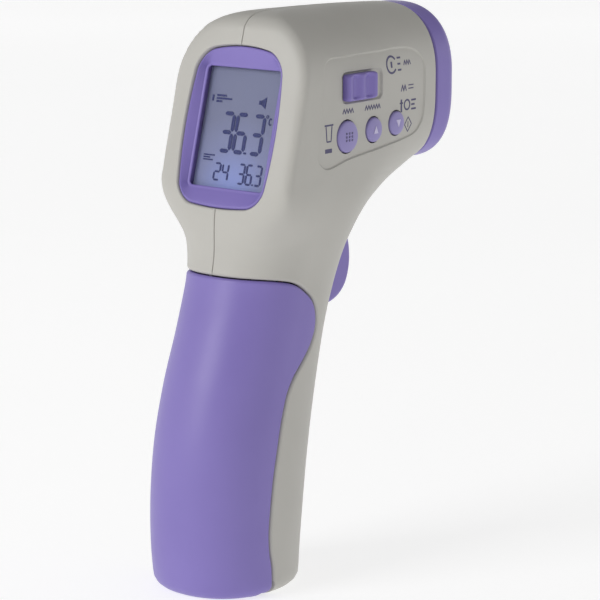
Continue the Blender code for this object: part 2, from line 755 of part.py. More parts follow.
def power_group(jacket, steel, plastic, red, black):
    """Two AA cells side by side in a tray, with springs and contact plates."""
    axis = (0, math.sin(GRIP_LEAN), math.cos(GRIP_LEAN))
    half = CELL_LENGTH / 2
    for name, side in (("left", -1), ("right", 1)):
        profile = [
            (0, half), (2.7, half), (2.7, half - 1.2), (6.4, half - 1.2), (CELL_RADIUS, half - 1.9),
            (CELL_RADIUS, -half + 0.6), (6.6, -half), (0, -half),
        ]
        up = 1 if side > 0 else -1
        direction = tuple(up * part for part in axis)
        turned(name + "_cell", profile, lean((side * CELL_SPACING, 0, 0)), direction, jacket, 24)
        reach = -half - 2.75 if side > 0 else half + 0.75
        spring_centre = lean((side * CELL_SPACING, 0, reach))
        coil(name + "_battery_spring", 3.0, 0.4, 2.0, 2, spring_centre, axis, steel)
    tray_end = half + 5.3
    back_plate = box("battery_tray", (24.0, 1.4, 2 * tray_end), lean((0, 8.3, 0)), plastic, -GRIP_LEAN)
    for end in (-1, 1):
        lip = box(f"tray_end_{end}", (27.0, 12.0, 1.2), lean((0, 3.0, end * (tray_end - 0.6))),
                  tilt=-GRIP_LEAN)
        join(back_plate, lip)
    contact_z = half + 3.6
    box("bridge_contact", (24.0, 9.0, 0.4), lean((0, 0, -contact_z)), steel, -GRIP_LEAN)
    for name, side in (("negative", -1), ("positive", 1)):
        centre = lean((side * CELL_SPACING, 0, contact_z))
        box(name + "_contact", (9.0, 9.0, 0.4), centre, steel, -GRIP_LEAN)
    lead("red_lead", 5.5, red)
    lead("black_lead", -5.5, black)


def lead(name, x, finish):
    """A wire from the battery tray up to the main board."""
    curve = bpy.data.curves.new(name, "CURVE")
    curve.dimensions = "3D"
    curve.bevel_depth = 0.6 * MM
    curve.bevel_resolution = 1
    curve.use_fill_caps = True
    route = [(x, -13.6, 72.5), (x, -14.6, 80), (x, -15.0, 90), (x, -14.0, 100), (x, -12.0, 106.5)]
    path = curve.splines.new("POLY")
    path.points.add(len(route) - 1)
    for point, place in zip(path.points, route):
        point.co = (*(Vector(place) * MM), 1)
    made = bpy.data.objects.new(name, curve)
    curve.materials.append(finish)
    PARTS.objects.link(made)


def screws(steel):
    """Pan-head screws that enter from the left half."""
    for i, (y, z) in enumerate(SCREWS):
        head = 7.3
        profile = [
            (0, head + 1.4), (1.2, head + 1.3), (SCREW_HEAD, head + 0.6), (SCREW_HEAD, head),
            (SCREW_SHANK, head), (SCREW_SHANK, -8.0), (0, -9.0),
        ]
        made = turned(f"screw_{i + 1}", profile, (0, y, z), (-1, 0, 0), steel, steps=16)
        cross = box(f"drive_{i}", (1.2, 0.6, 2.6), (-head - 1.2, y, z))
        cut(made, cross)


# ---------------------------------------------------------------- assembly


def main():
    grey = material("shell_plastic", (0.66, 0.63, 0.59), 0.45)
    purple = material("purple_plastic", (0.36, 0.27, 0.68), 0.42)
    black = material("black_plastic", (0.02, 0.02, 0.02), 0.5)
    white = material("light_guide", (0.85, 0.88, 0.95), 0.3)
    clear = material("clear_window", (0.9, 0.92, 0.95), 0.08)
    lcd = material("lcd_glass", (0.42, 0.44, 0.60), 0.25)
    green = material("circuit_board", (0.03, 0.22, 0.10), 0.45)
    brass = material("sensor_brass", (0.72, 0.55, 0.26), 0.3, 1.0)
    steel = material("steel", (0.70, 0.70, 0.72), 0.3, 1.0)
    dark = material("infrared_window", (0.05, 0.05, 0.07), 0.15)
    rubber = material("contact_rubber", (0.75, 0.55, 0.60), 0.7)
    jacket = material("cell_jacket", (0.12, 0.13, 0.16), 0.35)
    red = material("red_wire", (0.6, 0.03, 0.03), 0.5)

    outer = body("outer_form")
    inner = body("inner_form", inset=WALL, front_end=SHELL_FRONT + 8)
    right = shell("shell_right", 1, grey, outer, inner)
    left = shell("shell_left", -1, grey, outer, inner)
    right_openings(right)
    sound_holes([(right, 1), (left, -1)])
    battery_cover(purple, outer, inner)
    cylinder("cover_hinge_pin", PIN_RADIUS, 27.2, (0, *COVER_PIVOT), (1, 0, 0), steel, sides=24)
    nose_ring(purple)
    sensor_group(black, brass, steel, dark, green)
    display_group(purple, clear, lcd, white, rubber, green)
    key_group(purple, black)
    slide_group(purple, black)
    trigger_group(purple, steel, black)
    boards(green, black)
    power_group(jacket, steel, black, red, black)
    screws(steel)


def centre_under_object():
    """Hangs every part and cutter on one empty that puts the origin under the object's middle."""
    root = bpy.data.objects.new("thermometer_frame", None)
    PARTS.objects.link(root)
    root.location = (0, CENTRE_SHIFT_Y * MM, 0)
    for child in list(PARTS.objects) + list(CUTTERS.objects):
        if child is not root:
            child.parent = root


clear_scene()
PARTS = collection("forehead_thermometer")
CUTTERS = collection("cutters")
main()
centre_under_object()
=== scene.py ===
"""Looks of the non-contact forehead thermometer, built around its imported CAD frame.

Shapes are laid out in millimetres in the design's own axes: x = 0 is the parting
plane, +Y the way the sensor points, z = 0 the flat foot. put() turns them into
metres and applies the frame's shift along Y. The casing and the battery cover are
one body surface, clipped along its seams and openings with rounded edges.
"""

import math

import bpy
import numpy as np
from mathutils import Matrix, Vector


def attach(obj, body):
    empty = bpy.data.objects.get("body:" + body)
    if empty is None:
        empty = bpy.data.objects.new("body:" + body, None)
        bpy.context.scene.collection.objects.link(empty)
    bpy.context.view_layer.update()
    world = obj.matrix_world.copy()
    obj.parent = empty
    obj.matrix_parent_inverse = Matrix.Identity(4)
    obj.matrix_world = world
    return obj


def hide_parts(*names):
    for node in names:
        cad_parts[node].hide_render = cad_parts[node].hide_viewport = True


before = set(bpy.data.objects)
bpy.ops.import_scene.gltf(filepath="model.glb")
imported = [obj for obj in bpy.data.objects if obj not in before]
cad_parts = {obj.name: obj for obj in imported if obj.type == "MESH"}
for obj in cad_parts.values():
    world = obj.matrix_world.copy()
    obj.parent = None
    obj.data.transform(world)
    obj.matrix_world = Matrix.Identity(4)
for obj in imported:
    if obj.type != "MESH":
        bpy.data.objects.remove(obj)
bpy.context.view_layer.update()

MM = 0.001
CENTRE_SHIFT_Y = 2.51

# Body form, the same as the CAD part's
WALL = 1.6
PARTING_GAP = 0.16
BASE_ROUND = 3.5
REAR_PROFILE = [
    (-49.2, 0), (-50.6, 12), (-50.7, 26), (-49.1, 40), (-45.4, 54), (-40.6, 67),
    (-36.4, 80), (-34.6, 88), (-34.4, 95), (-34.0, 100), (-31.6, 110), (-26.5, 130),
    (-22.9, 144), (-21.7, 147), (-19.0, 149), (-14.0, 149.9), (-5.0, 150.21),
]
FRONT_PROFILE = [
    (-12.4, 0), (-11.5, 10), (-9.4, 25), (-7.0, 40), (-4.0, 55), (-0.7, 68),
    (3.1, 78), (6.8, 87), (12.1, 94), (20.5, 99.8), (30, 104), (36, 106.3), (50, 111),
]
TOP = 150.2
TOP_FALL = 0.0006
SHELL_FRONT = 36.0
HEAD_REAR_HALF = 22.3
HEAD_FRONT_HALF = 18.3
GRIP_HALF = 17.2
GRIP_SWELL = 0.6
PALM_BLEND = (78.0, 105.0)
FACE_BLEND = (90.0, 107.0)

# Display face
FACE_CENTRE = (0.0, -28.75, 121.1)
FACE_TILT = math.radians(14.7)
FACE_OPENING = (31.6, 42.6, 5.0)
FACE_BOW = 1.6
FACE_ARCH = (1.2, 2.3)
SCREEN = (25.0, 31.4)
GLASS = (26.2, 32.6)
POCKET_BACK = 8.6
LCD_DEPTH = 4.66
LCD_SHIFT = 1.25

# Nose
NOSE_AXIS_Z = 128.0
NOSE_FRONT = 45.8
NOSE_ROUND = 4.5
NOSE_HOLE = 14.0

# Controls
KEYS = {"mode": ((-5.8, 117.9), 4.15), "up": ((6.2, 118.5), 3.25), "down": ((16.7, 119.2), 3.15)}
KEY_GAP = 0.35
SWITCH_CENTRE = (-0.1, 130.5)
KNOB = (13.5, 7.0)
KNOB_PROUD = 1.15
STEM_WIDTH = 2.6
SIDE_SLOPE = 0.067
TRIGGER_HALF = 5.3
# centre height, pitch, holes along the middle row of one side, hole radius
SOUND_HOLES = (14.0, 2.3, 5, 0.5)
# centre height, height, corner radius
TRIGGER_SLOT = (83.4, 29.0, 2.5)
TRIGGER_PIN = (2.0, 93.5)
POST_RADIUS = 3.2
# stands for no edge near
FAR = 50.0

# Battery cover
COVER_PIVOT = (-33.9, 2.2)
KNUCKLE = 2.0
KNUCKLE_SWEEP = 2.8
COVER_GAP = 0.3
COVER_SEAM = [
    (-36.0, 83.0), (-28.3, 82.1), (-22.4, 80.8), (-18.0, 78.3), (-14.9, 75.4),
    (-13.4, 71.6), (-13.6, 67.6), (-15.9, 63.6), (-19.3, 60.0), (-22.6, 56.6),
    (-25.0, 53.0), (-26.4, 49.4), (-27.7, 45.0), (-29.2, 38.3), (-30.9, 30.8),
    (-32.2, 23.2), (-33.0, 17.0), (-32.9, 12.0), (-32.1, 7.5),
]

SCREWS = [(-8.8, 142.6), (25.5, 139.5), (24.0, 110.0), (-8.0, 97.0), (-16.8, 31.0)]
SCREW_SINK = 2.7

# Label panel on the key side: its outline and how far it lies below the shell
LABEL_OUTLINE = [
    (-13.0, 138.2), (-5.1, 138.6), (9.4, 138.8), (20.0, 139.0), (26.3, 137.9), (29.6, 134.8),
    (30.2, 129.6), (29.9, 122.2), (28.6, 118.0), (24.3, 115.3), (9.7, 113.5), (-5.0, 112.0),
    (-13.5, 110.4), (-17.0, 111.3), (-19.0, 114.5), (-17.3, 125.6), (-16.0, 134.3),
]
LABEL_DEPTH = 0.42
# y, z, length, height, corner radius
SWITCH_TRAY = (1.4, 130.5, 18.2, 8.0, 1.7)
TRAY_DEPTH = 0.7
STEM_SLOT = (1.4, 130.5, 6.2, 3.2, 0.6)


# ---------------------------------------------------------------- plane geometry


def spline(points, steps=8):
    """A Catmull-Rom curve through the points."""
    p = np.array(points, float)
    p = np.vstack([2 * p[0] - p[1], p, 2 * p[-1] - p[-2]])
    curve = []
    for i in range(1, len(p) - 2):
        a, b, c, d = p[i - 1 : i + 3]
        for t in np.arange(steps) / steps:
            square = (2 * a - 5 * b + 4 * c - d) * t**2
            cube = (3 * b - a - 3 * c + d) * t**3
            curve.append(0.5 * (2 * b + (c - a) * t + square + cube))
    curve.append(p[-2])
    return np.array(curve)


def closed_spline(points, steps=6):
    """A Catmull-Rom curve round a closed outline, without repeating its first point."""
    p = np.array(points, float)
    wrapped = np.vstack([p[-2:], p, p[:2]])
    curve = spline(wrapped, steps)
    return curve[2 * steps : (len(p) + 2) * steps]


def ease(t):
    """Smooth step from 0 to 1."""
    t = np.clip(t, 0, 1)
    return t * t * (3 - 2 * t)


def rounding(distance, reach, power):
    """0 at an edge, 1 from reach inwards, along a superellipse."""
    t = np.clip(distance / reach, 0, 1)
    return (1 - (1 - t) ** power) ** (1 / power)


def distance_to(curve, y, z):
    """Distance from each (y, z) to an open polyline."""
    nearest = np.full(y.shape, 1e9)
    for (y0, z0), (y1, z1) in zip(curve[:-1], curve[1:]):
        dy, dz = y1 - y0, z1 - z0
        t = np.clip(((y - y0) * dy + (z - z0) * dz) / (dy * dy + dz * dz), 0, 1)
        nearest = np.minimum(nearest, (y - y0 - t * dy) ** 2 + (z - z0 - t * dz) ** 2)
    return np.sqrt(nearest)


def outside(outline, y, z):
    """Signed distance to a closed outline: positive outside it."""
    ring = np.vstack([outline, outline[:1]])
    inside = np.zeros(y.shape, bool)
    for (y0, z0), (y1, z1) in zip(ring[:-1], ring[1:]):
        if z0 != z1:
            inside ^= ((z0 > z) != (z1 > z)) & (y < y0 + (z - z0) * (y1 - y0) / (z1 - z0))
    return np.where(inside, -1.0, 1.0) * distance_to(ring, y, z)


def outside_rect(u, v, width, height, radius):
    """Signed distance to a rounded rectangle about the origin: positive outside it."""
    du = np.abs(u) - width / 2 + radius
    dv = np.abs(v) - height / 2 + radius
    corner = np.hypot(np.maximum(du, 0), np.maximum(dv, 0))
    return corner + np.minimum(np.maximum(du, dv), 0) - radius


def rounded_rect(width, height, radius, per_corner=14, per_side=8):
    """(x, y) points of a rounded rectangle, anticlockwise, with points along its sides too."""
    corners = []
    for k, (sx, sy) in enumerate([(1, 1), (-1, 1), (-1, -1), (1, -1)]):
        for i in range(per_corner + 1):
            angle = math.pi / 2 * (k + i / per_corner)
            corners.append((sx * (width / 2 - radius) + radius * math.cos(angle),
                            sy * (height / 2 - radius) + radius * math.sin(angle)))
    points = []
    for k, (x, y) in enumerate(corners):
        points.append((x, y))
        if (k + 1) % (per_corner + 1) == 0:
            end_x, end_y = corners[(k + 1) % len(corners)]
            for share in np.linspace(0, 1, per_side + 2)[1:-1]:
                points.append((x + (end_x - x) * share, y + (end_y - y) * share))
    return points


# ---------------------------------------------------------------- body surface

REAR = spline(REAR_PROFILE, 10)
FRONT = spline(FRONT_PROFILE, 10)


def foot_inset(z):
    """How far the body pulls in round its foot."""
    low = np.clip(BASE_ROUND - z, 0, BASE_ROUND)
    return BASE_ROUND - np.sqrt(BASE_ROUND**2 - low**2)


def half_width(y, z):
    """Half the body's width at its widest, before its edges are rounded."""
    taper = (HEAD_REAR_HALF - HEAD_FRONT_HALF) / (SHELL_FRONT + 24)
    head = HEAD_REAR_HALF - taper * np.clip(y + 24, 0, 60)
    grip = GRIP_HALF + GRIP_SWELL * ease((40 - z) / 40)
    low, high = PALM_BLEND
    return grip + (head - grip) * ease((z - low) / (high - low))


def surface_x(y, z):
    """How far the body's side stands from the parting plane."""
    foot = foot_inset(z)
    first = np.interp(z, REAR[:, 1], REAR[:, 0]) + foot
    low, high = FACE_BLEND
    face = ease((z - low) / (high - low))
    nose = np.clip((y - 10) / 26, 0, 1)
    x = half_width(y, z) - foot
    x = x * rounding(y - first, 18 - 14.4 * face - foot, 2.2 + 1.3 * face)
    x = x * rounding(distance_to(FRONT, y, z) - foot, 18 + 2 * nose - foot, 2.4 + 0.4 * nose)
    ceiling = TOP - TOP_FALL * np.maximum(y, 0) ** 2
    return x * rounding(ceiling - z, 19, 2.15 + 0.2 * nose)


def side_x(y, z):
    """The flank's distance from the middle plane at one place."""
    return float(surface_x(np.array([float(y)]), np.array([float(z)]))[0])


def body_table(columns=300):
    """The outer surface of the +X half, as rows of points spaced evenly round each section."""
    foot = BASE_ROUND * (1 - np.cos(np.linspace(0, math.pi / 2, 16)))
    flank = np.arange(BASE_ROUND, 132, 0.5)[1:]
    crown = 132 + (TOP - 0.004 - 132) * np.sin(np.linspace(0, math.pi / 2, 64))
    heights = np.concatenate([foot, flank, crown])
    t = np.linspace(0, 1, 420)
    cluster = t**4 / (t**4 + (1 - t) ** 4)
    spans, meets = [], []
    for height in heights:
        inset = float(foot_inset(height))
        first = float(np.interp(height, REAR[:, 1], REAR[:, 0])) + inset
        last = SHELL_FRONT
        for _ in range(4):
            z = height - TOP_FALL * max(last, 0) ** 2 * height / TOP
            last = min(SHELL_FRONT, float(np.interp(z, FRONT[:, 1], FRONT[:, 0])) - inset)
        spans.append(first + (last - first) * cluster)
        meets.append(last < SHELL_FRONT - 1e-6)
    y = np.array(spans)
    z = heights[:, None] * (1 - TOP_FALL * np.maximum(y, 0) ** 2 / TOP)
    x = surface_x(y, z)
    x[:, 0] = 0.0
    x[meets, -1] = 0.0
    rows = []
    for points in np.stack([x, y, z], axis=2):
        run = np.concatenate([[0], np.cumsum(np.linalg.norm(np.diff(points, axis=0), axis=1))])
        even = np.linspace(0, run[-1], columns)
        rows.append(np.stack([np.interp(even, run, points[:, k]) for k in range(3)], axis=1))
    base = [rows[0] * (share, 1, 1) for share in np.linspace(0, 1, 16)[:-1]]
    crest = [rows[-1] * (share, 1, 1) for share in (0.5, 0.0)]
    return np.array(base + rows + crest)


def table_normals(table):
    """Outward unit normals of the body table."""
    across = np.gradient(table, axis=1)
    up = np.gradient(table, axis=0)
    normal = np.cross(across, up)
    length = np.linalg.norm(normal, axis=2, keepdims=True)
    normal = normal / np.maximum(length, 1e-9)
    normal[:15] = (0, 0, -1)
    normal[-3:] = (0, 0, 1)
    normal[:, 0, 0] = 0
    return normal / np.maximum(np.linalg.norm(normal, axis=2, keepdims=True), 1e-9)


TABLE = body_table()
NORMALS = table_normals(TABLE)


def sample(grid, place):
    """The grid's values at fractional (row, column) places."""
    low = np.floor(place).astype(int)
    low = np.minimum(np.maximum(low, 0), np.array(grid.shape[:2]) - 2)
    part = place - low
    a, b = part[:, :1], part[:, 1:]
    i, j = low[:, 0], low[:, 1]
    near = grid[i, j] * (1 - b) + grid[i, j + 1] * b
    far = grid[i + 1, j] * (1 - b) + grid[i + 1, j + 1] * b
    return near * (1 - a) + far * a


# ---------------------------------------------------------------- surface meshing

SPLITS = {
    0: [(0, 1, 2)],
    1: [(0, 3, 2), (3, 1, 2)],
    2: [(0, 1, 4), (0, 4, 2)],
    3: [(3, 1, 4), (0, 3, 4), (0, 4, 2)],
    4: [(0, 1, 5), (5, 1, 2)],
    5: [(0, 3, 5), (3, 1, 2), (3, 2, 5)],
    6: [(4, 2, 5), (0, 1, 4), (0, 4, 5)],
    7: [(0, 3, 5), (3, 1, 4), (5, 4, 2), (3, 4, 5)],
}


def start_mesh(step=4):
    """A plain triangulation of the table, every step rows and columns."""
    rows = np.unique(np.append(np.arange(0, TABLE.shape[0], step), TABLE.shape[0] - 1))
    columns = np.unique(np.append(np.arange(0, TABLE.shape[1], step), TABLE.shape[1] - 1))
    place = np.stack(np.meshgrid(rows, columns, indexing="ij"), axis=-1).reshape(-1, 2)
    index = np.arange(len(place)).reshape(len(rows), len(columns))
    a, b = index[:-1, :-1].ravel(), index[:-1, 1:].ravel()
    c, d = index[1:, 1:].ravel(), index[1:, :-1].ravel()
    return place.astype(float), np.vstack([np.stack([a, b, c], 1), np.stack([a, c, d], 1)])


def edge_list(faces):
    """Each edge once, and for every face the numbers of its three edges."""
    ends = np.sort(np.concatenate([faces[:, [0, 1]], faces[:, [1, 2]], faces[:, [2, 0]]]), axis=1)
    count = int(faces.max()) + 1
    codes, index = np.unique(ends[:, 0] * count + ends[:, 1], return_inverse=True)
    return np.stack([codes // count, codes % count], axis=1), index.reshape(3, -1).T


def refine(place, faces, wanted, rounds=5):
    """Halves each edge that is longer than the wanted size at its ends."""
    points = sample(TABLE, place)
    size = wanted(points)
    for _ in range(rounds):
        edges, index = edge_list(faces)
        length = np.linalg.norm(points[edges[:, 0]] - points[edges[:, 1]], axis=1)
        split = length > np.minimum(size[edges[:, 0]], size[edges[:, 1]])
        if not split.any():
            break
        middle = np.full(len(edges), -1)
        middle[split] = len(place) + np.arange(split.sum())
        added = place[edges[split]].mean(axis=1)
        added_points = sample(TABLE, added)
        place, points = np.vstack([place, added]), np.vstack([points, added_points])
        size = np.append(size, wanted(added_points))
        corners = np.hstack([faces, middle[index]])
        pattern = (split[index] * (1, 2, 4)).sum(axis=1)
        faces = np.vstack(
            [corners[pattern == k][:, three] for k, threes in SPLITS.items() for three in threes]
        )
    return place, faces


def clip(place, faces, field):
    """Keeps the part of the mesh where the field is positive."""
    value = field(sample(TABLE, place))
    value = np.where(np.abs(value) < 1e-7, 1e-7, value)
    inside = value > 0
    edges, index = edge_list(faces)
    crossed = inside[edges[:, 0]] != inside[edges[:, 1]]
    a, b = edges[crossed].T
    t = (value[a] / (value[a] - value[b]))[:, None]
    cut_at = np.full(len(edges), -1)
    cut_at[crossed] = len(place) + np.arange(crossed.sum())
    place = np.vstack([place, place[a] * (1 - t) + place[b] * t])
    kept = [faces[inside[faces].all(axis=1)]]
    for turn in range(3):
        order = np.roll([0, 1, 2], -turn)
        corner = faces[:, order]
        side = index[:, order]
        one = inside[corner[:, 0]] & ~inside[corner[:, 1]] & ~inside[corner[:, 2]]
        two = ~inside[corner[:, 0]] & inside[corner[:, 1]] & inside[corner[:, 2]]
        kept.append(np.stack([corner[one, 0], cut_at[side[one, 0]], cut_at[side[one, 2]]], 1))
        kept.append(np.stack([cut_at[side[two, 0]], corner[two, 1], corner[two, 2]], 1))
        kept.append(np.stack([cut_at[side[two, 0]], corner[two, 2], cut_at[side[two, 2]]], 1))
    faces = np.vstack(kept)
    used, faces = np.unique(faces, return_inverse=True)
    return place[used], faces.reshape(-1, 3)


def edge_drop(distance, radius):
    """How far a surface drops beside an edge rounded to the radius."""
    t = np.clip(1 - np.maximum(distance, 0) / radius, 0, 1)
    return radius * (1 - np.sqrt(1 - t * t))


def skin(edges, recesses=(), keep_centre=False):
    """Closed wall of the +X half: clipped by each (field, radius), stepped by each recess.

    A recess is (field, width, depth). Returns points and faces in millimetres.
    """
    fields = [field for field, _, _ in edges]

    def wanted(points):
        size = np.full(len(points), 2.4)
        for field, radius, fine in edges:
            size = np.minimum(size, fine + 0.8 * np.maximum(np.abs(field(points)) - radius, 0))
        for field, width, _ in recesses:
            size = np.minimum(size, 0.25 + 0.8 * np.maximum(np.abs(field(points)) - width, 0))
        return size

    place, faces = refine(*start_mesh(), wanted)
    for field in fields:
        place, faces = clip(place, faces, field)
    points, normals = sample(TABLE, place), sample(NORMALS, place)
    normals /= np.linalg.norm(normals, axis=1, keepdims=True)
    drop = np.zeros(len(points))
    for field, width, depth in recesses:
        drop += depth * ease(0.5 - field(points) / (2 * width))
    for field, radius, _ in edges:
        drop = np.maximum(drop, edge_drop(field(points), radius))
    nose = edge_drop(SHELL_FRONT - points[:, 1], 0.7)
    drop = np.maximum(drop, nose)
    outer, inner = points - normals * drop[:, None], points - normals * WALL
    if keep_centre:
        flip = np.array([-1.0, 1.0, 1.0])
        outer, inner = np.vstack([outer, outer * flip]), np.vstack([inner, inner * flip])
        faces = np.vstack([faces, faces[:, ::-1] + len(points)])
        key = np.round(np.vstack([points, points * flip]) / 1e-4).astype(np.int64)
        _, first, index = np.unique(key, axis=0, return_index=True, return_inverse=True)
        outer, inner, faces = outer[first], inner[first], index.reshape(-1)[faces]
    whole = (faces != np.roll(faces, 1, axis=1)).all(axis=1)
    return close_wall(outer, inner, faces[whole])


def close_wall(outer, inner, faces):
    """Outer and inner skins of one mesh, joined round every open edge."""
    count = len(outer)
    directed = np.concatenate([faces[:, [0, 1]], faces[:, [1, 2]], faces[:, [2, 0]]])
    code = directed[:, 0] * count + directed[:, 1]
    back = directed[:, 1] * count + directed[:, 0]
    a, b = directed[~np.isin(code, back)].T
    rim = np.vstack([np.stack([b, a, a + count], 1), np.stack([b, a + count, b + count], 1)])
    return np.vstack([outer, inner]), np.vstack([faces, faces[:, ::-1] + count, rim])


# ---------------------------------------------------------------- seams and openings


def cover_outline(grow):
    """The battery cover's side outline, grown by grow."""
    seam = spline(COVER_SEAM, 6)
    y, z = COVER_PIVOT
    arc = [math.radians(a) for a in range(20, -121, -10)]
    hinge = [(y + KNUCKLE * math.cos(a), z + KNUCKLE * math.sin(a)) for a in arc]
    edge = np.vstack([[(-70.0, 83.6)], seam, hinge, [(y - 3.4, -6.0)]])
    step = np.gradient(edge, axis=0)
    step /= np.linalg.norm(step, axis=1, keepdims=True)
    edge = edge + grow * np.stack([-step[:, 1], step[:, 0]], axis=1)
    return np.vstack([edge, [(-70.0, -6.0)]])


COVER_EDGE = cover_outline(0.0)
COVER_HOLE = cover_outline(COVER_GAP)


def face_axes():
    """Origin, across, up and outward directions of the display's frame."""
    up = np.array([0.0, math.sin(FACE_TILT), math.cos(FACE_TILT)])
    out = np.array([0.0, -math.cos(FACE_TILT), math.sin(FACE_TILT)])
    return np.array(FACE_CENTRE), np.array([1.0, 0.0, 0.0]), up, out


def beyond(p):
    """Distance from the parting gap."""
    return p[:, 0] - PARTING_GAP / 2


def off_cover(p):
    """Distance outside the battery cover's opening."""
    return outside(COVER_HOLE, p[:, 1], p[:, 2])


def off_hinge(p):
    """Distance outside the room that the cover's knuckles sweep."""
    return np.hypot(p[:, 1] - COVER_PIVOT[0], p[:, 2] - COVER_PIVOT[1]) - KNUCKLE_SWEEP


def face_outline(inset=0.0):
    """The display opening: a rounded rectangle with bowed sides and an arched top and foot."""
    width, height, radius = FACE_OPENING
    low, high = FACE_ARCH
    half_w, half_h = width / 2 - FACE_BOW - inset, (height - low - high) / 2 - inset
    points = []
    for x, y in rounded_rect(2 * half_w, 2 * half_h, radius - inset):
        arch = (high if y > 0 else low) * (1 - (x / half_w) ** 2)
        bow = FACE_BOW * (1 - (y / half_h) ** 2)
        points.append((x + math.copysign(bow, x), y + math.copysign(arch, y) + (low - high) / 2))
    return np.array(points)


FACE_EDGE = face_outline()


def off_face(p):
    """Distance outside the display opening, on the rear of the head."""
    origin, across, up, _ = face_axes()
    gap = np.full(len(p), FAR)
    rear = p[:, 1] < -6
    local = p[rear] - origin
    gap[rear] = outside(FACE_EDGE, local @ across, local @ up)
    return gap


def off_trigger(p):
    """Distance outside the trigger's slot, on the front of the body."""
    middle, height, radius = TRIGGER_SLOT
    gap = outside_rect(p[:, 0], p[:, 2] - middle, 2 * TRIGGER_HALF + 1, height, radius)
    return np.where(p[:, 1] < -6, FAR, gap)


def off_sound_holes(p):
    """Distance to the diamond of small holes over the buzzer."""
    centre_z, pitch, reach, radius = SOUND_HOLES
    gap = np.full(len(p), FAR)
    front = p[:, 1] > -20
    for row in range(1 - reach, reach):
        for column in range(reach - abs(row)):
            x, z = (0.5 + column) * pitch, centre_z + row * pitch
            away = np.hypot(p[front, 0] - x, p[front, 2] - z) - radius
            gap[front] = np.minimum(gap[front], away)
    return gap


def off_circle(y, z, radius):
    """Field of distance outside a round hole in the flank."""
    return lambda p: np.where(p[:, 0] < 8, FAR, np.hypot(p[:, 1] - y, p[:, 2] - z) - radius)


def off_slot(p):
    """Distance outside the slot of the slide knob's stem."""
    y, z, length, height, radius = STEM_SLOT
    return np.where(p[:, 0] < 8, FAR, outside_rect(p[:, 1] - y, p[:, 2] - z, length, height, radius))


LABEL_EDGE = closed_spline(LABEL_OUTLINE)


def off_label(p):
    """Distance outside the label panel."""
    return np.where(p[:, 0] < 8, FAR, outside(LABEL_EDGE, p[:, 1], p[:, 2]))


def off_tray(p):
    """Distance outside the shallow tray of the slide knob."""
    y, z, length, height, radius = SWITCH_TRAY
    return np.where(p[:, 0] < 8, FAR, outside_rect(p[:, 1] - y, p[:, 2] - z, length, height, radius))


def on_cover(p):
    """Distance inside the battery cover's outline."""
    return -outside(COVER_EDGE, p[:, 1], p[:, 2])


def off_ears(p):
    """Distance outside the room for the casing's hinge ears."""
    gap = np.hypot(p[:, 1] - COVER_PIVOT[0], p[:, 2] - COVER_PIVOT[1]) - KNUCKLE_SWEEP
    return np.maximum(gap, p[:, 0] - 9.1)


# ---------------------------------------------------------------- object helpers


def put(points):
    """Design millimetres to scene metres."""
    return (np.asarray(points, float) + (0, CENTRE_SHIFT_Y, 0)) * MM


def piece(name, parts, material, body="housing", sharp=38):
    """One object from (points, faces) lists in design millimetres."""
    mesh = bpy.data.meshes.new(name)
    points, faces, count = [], [], 0
    for part_points, part_faces in parts:
        points.append(put(part_points))
        faces += [tuple(int(i) + count for i in face) for face in part_faces]
        count += len(part_points)
    mesh.from_pydata(np.vstack(points).tolist(), [], faces)
    mesh.validate()
    mesh.shade_smooth()
    mesh.set_sharp_from_angle(angle=math.radians(sharp))
    mesh.materials.append(material)
    made = bpy.data.objects.new(name, mesh)
    bpy.context.scene.collection.objects.link(made)
    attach(made, body)
    return made


def loft(rings, closed=False):
    """Skins rings of equal point count; the ends are capped, or joined when closed."""
    size = len(rings[0])
    points = np.array([point for ring in rings for point in ring], float)
    faces = []
    pairs = list(zip(range(len(rings)), range(1, len(rings))))
    if closed:
        pairs.append((len(rings) - 1, 0))
    else:
        faces.append(tuple(range(size))[::-1])
        faces.append(tuple(range((len(rings) - 1) * size, len(rings) * size)))
    for low, high in pairs:
        for i in range(size):
            j = (i + 1) % size
            faces.append((low * size + i, low * size + j, high * size + j, high * size + i))
    return outward(points, faces)


def outward(points, faces):
    """The same closed surface with its faces turned to point out."""
    volume = 0.0
    for face in faces:
        a = points[face[0]]
        for b, c in zip(face[1:-1], face[2:]):
            volume += np.dot(a, np.cross(points[b], points[c]))
    return points, faces if volume > 0 else [tuple(face)[::-1] for face in faces]


def lathe(profile, centre, steps=72, axis="x"):
    """A closed solid turned about an axis; profile is (radius, height) from tip to foot."""
    rings = []
    for radius, height in profile:
        ring = []
        for k in range(steps):
            angle = 2 * math.pi * k / steps
            a, b = radius * math.cos(angle), radius * math.sin(angle)
            ring.append((height, a, b) if axis == "x" else (a, height, b))
        rings.append(np.array(ring) + centre)
    return loft(rings)


def curved(points, steps=5):
    """A smooth profile through a few (radius, height) points."""
    return [tuple(p) for p in spline(points, steps)]


def ribbon(line, widths, to_space, low, high):
    """A flat printed stroke: a line in the plane, its width at each point, and its two depths."""
    line = np.asarray(line, float)
    step = np.gradient(line, axis=0)
    step /= np.maximum(np.linalg.norm(step, axis=1, keepdims=True), 1e-9)
    left = np.stack([-step[:, 1], step[:, 0]], axis=1) * np.asarray(widths, float)[:, None] / 2
    rings = []
    for k in range(len(line)):
        a, b = line[k] + left[k], line[k] - left[k]
        rings.append([to_space(*a, low), to_space(*a, high), to_space(*b, high), to_space(*b, low)])
    return loft(rings)


def stroke(points, width, to_space, low, high, spacing=0.4):
    """A stroke of even width along straight runs between the points."""
    points = np.asarray(points, float)
    line = [points[0]]
    for a, b in zip(points, points[1:]):
        count = max(1, int(np.linalg.norm(b - a) / spacing))
        line += [a + (b - a) * k / count for k in range(1, count + 1)]
    return ribbon(line, [width] * len(line), to_space, low, high)


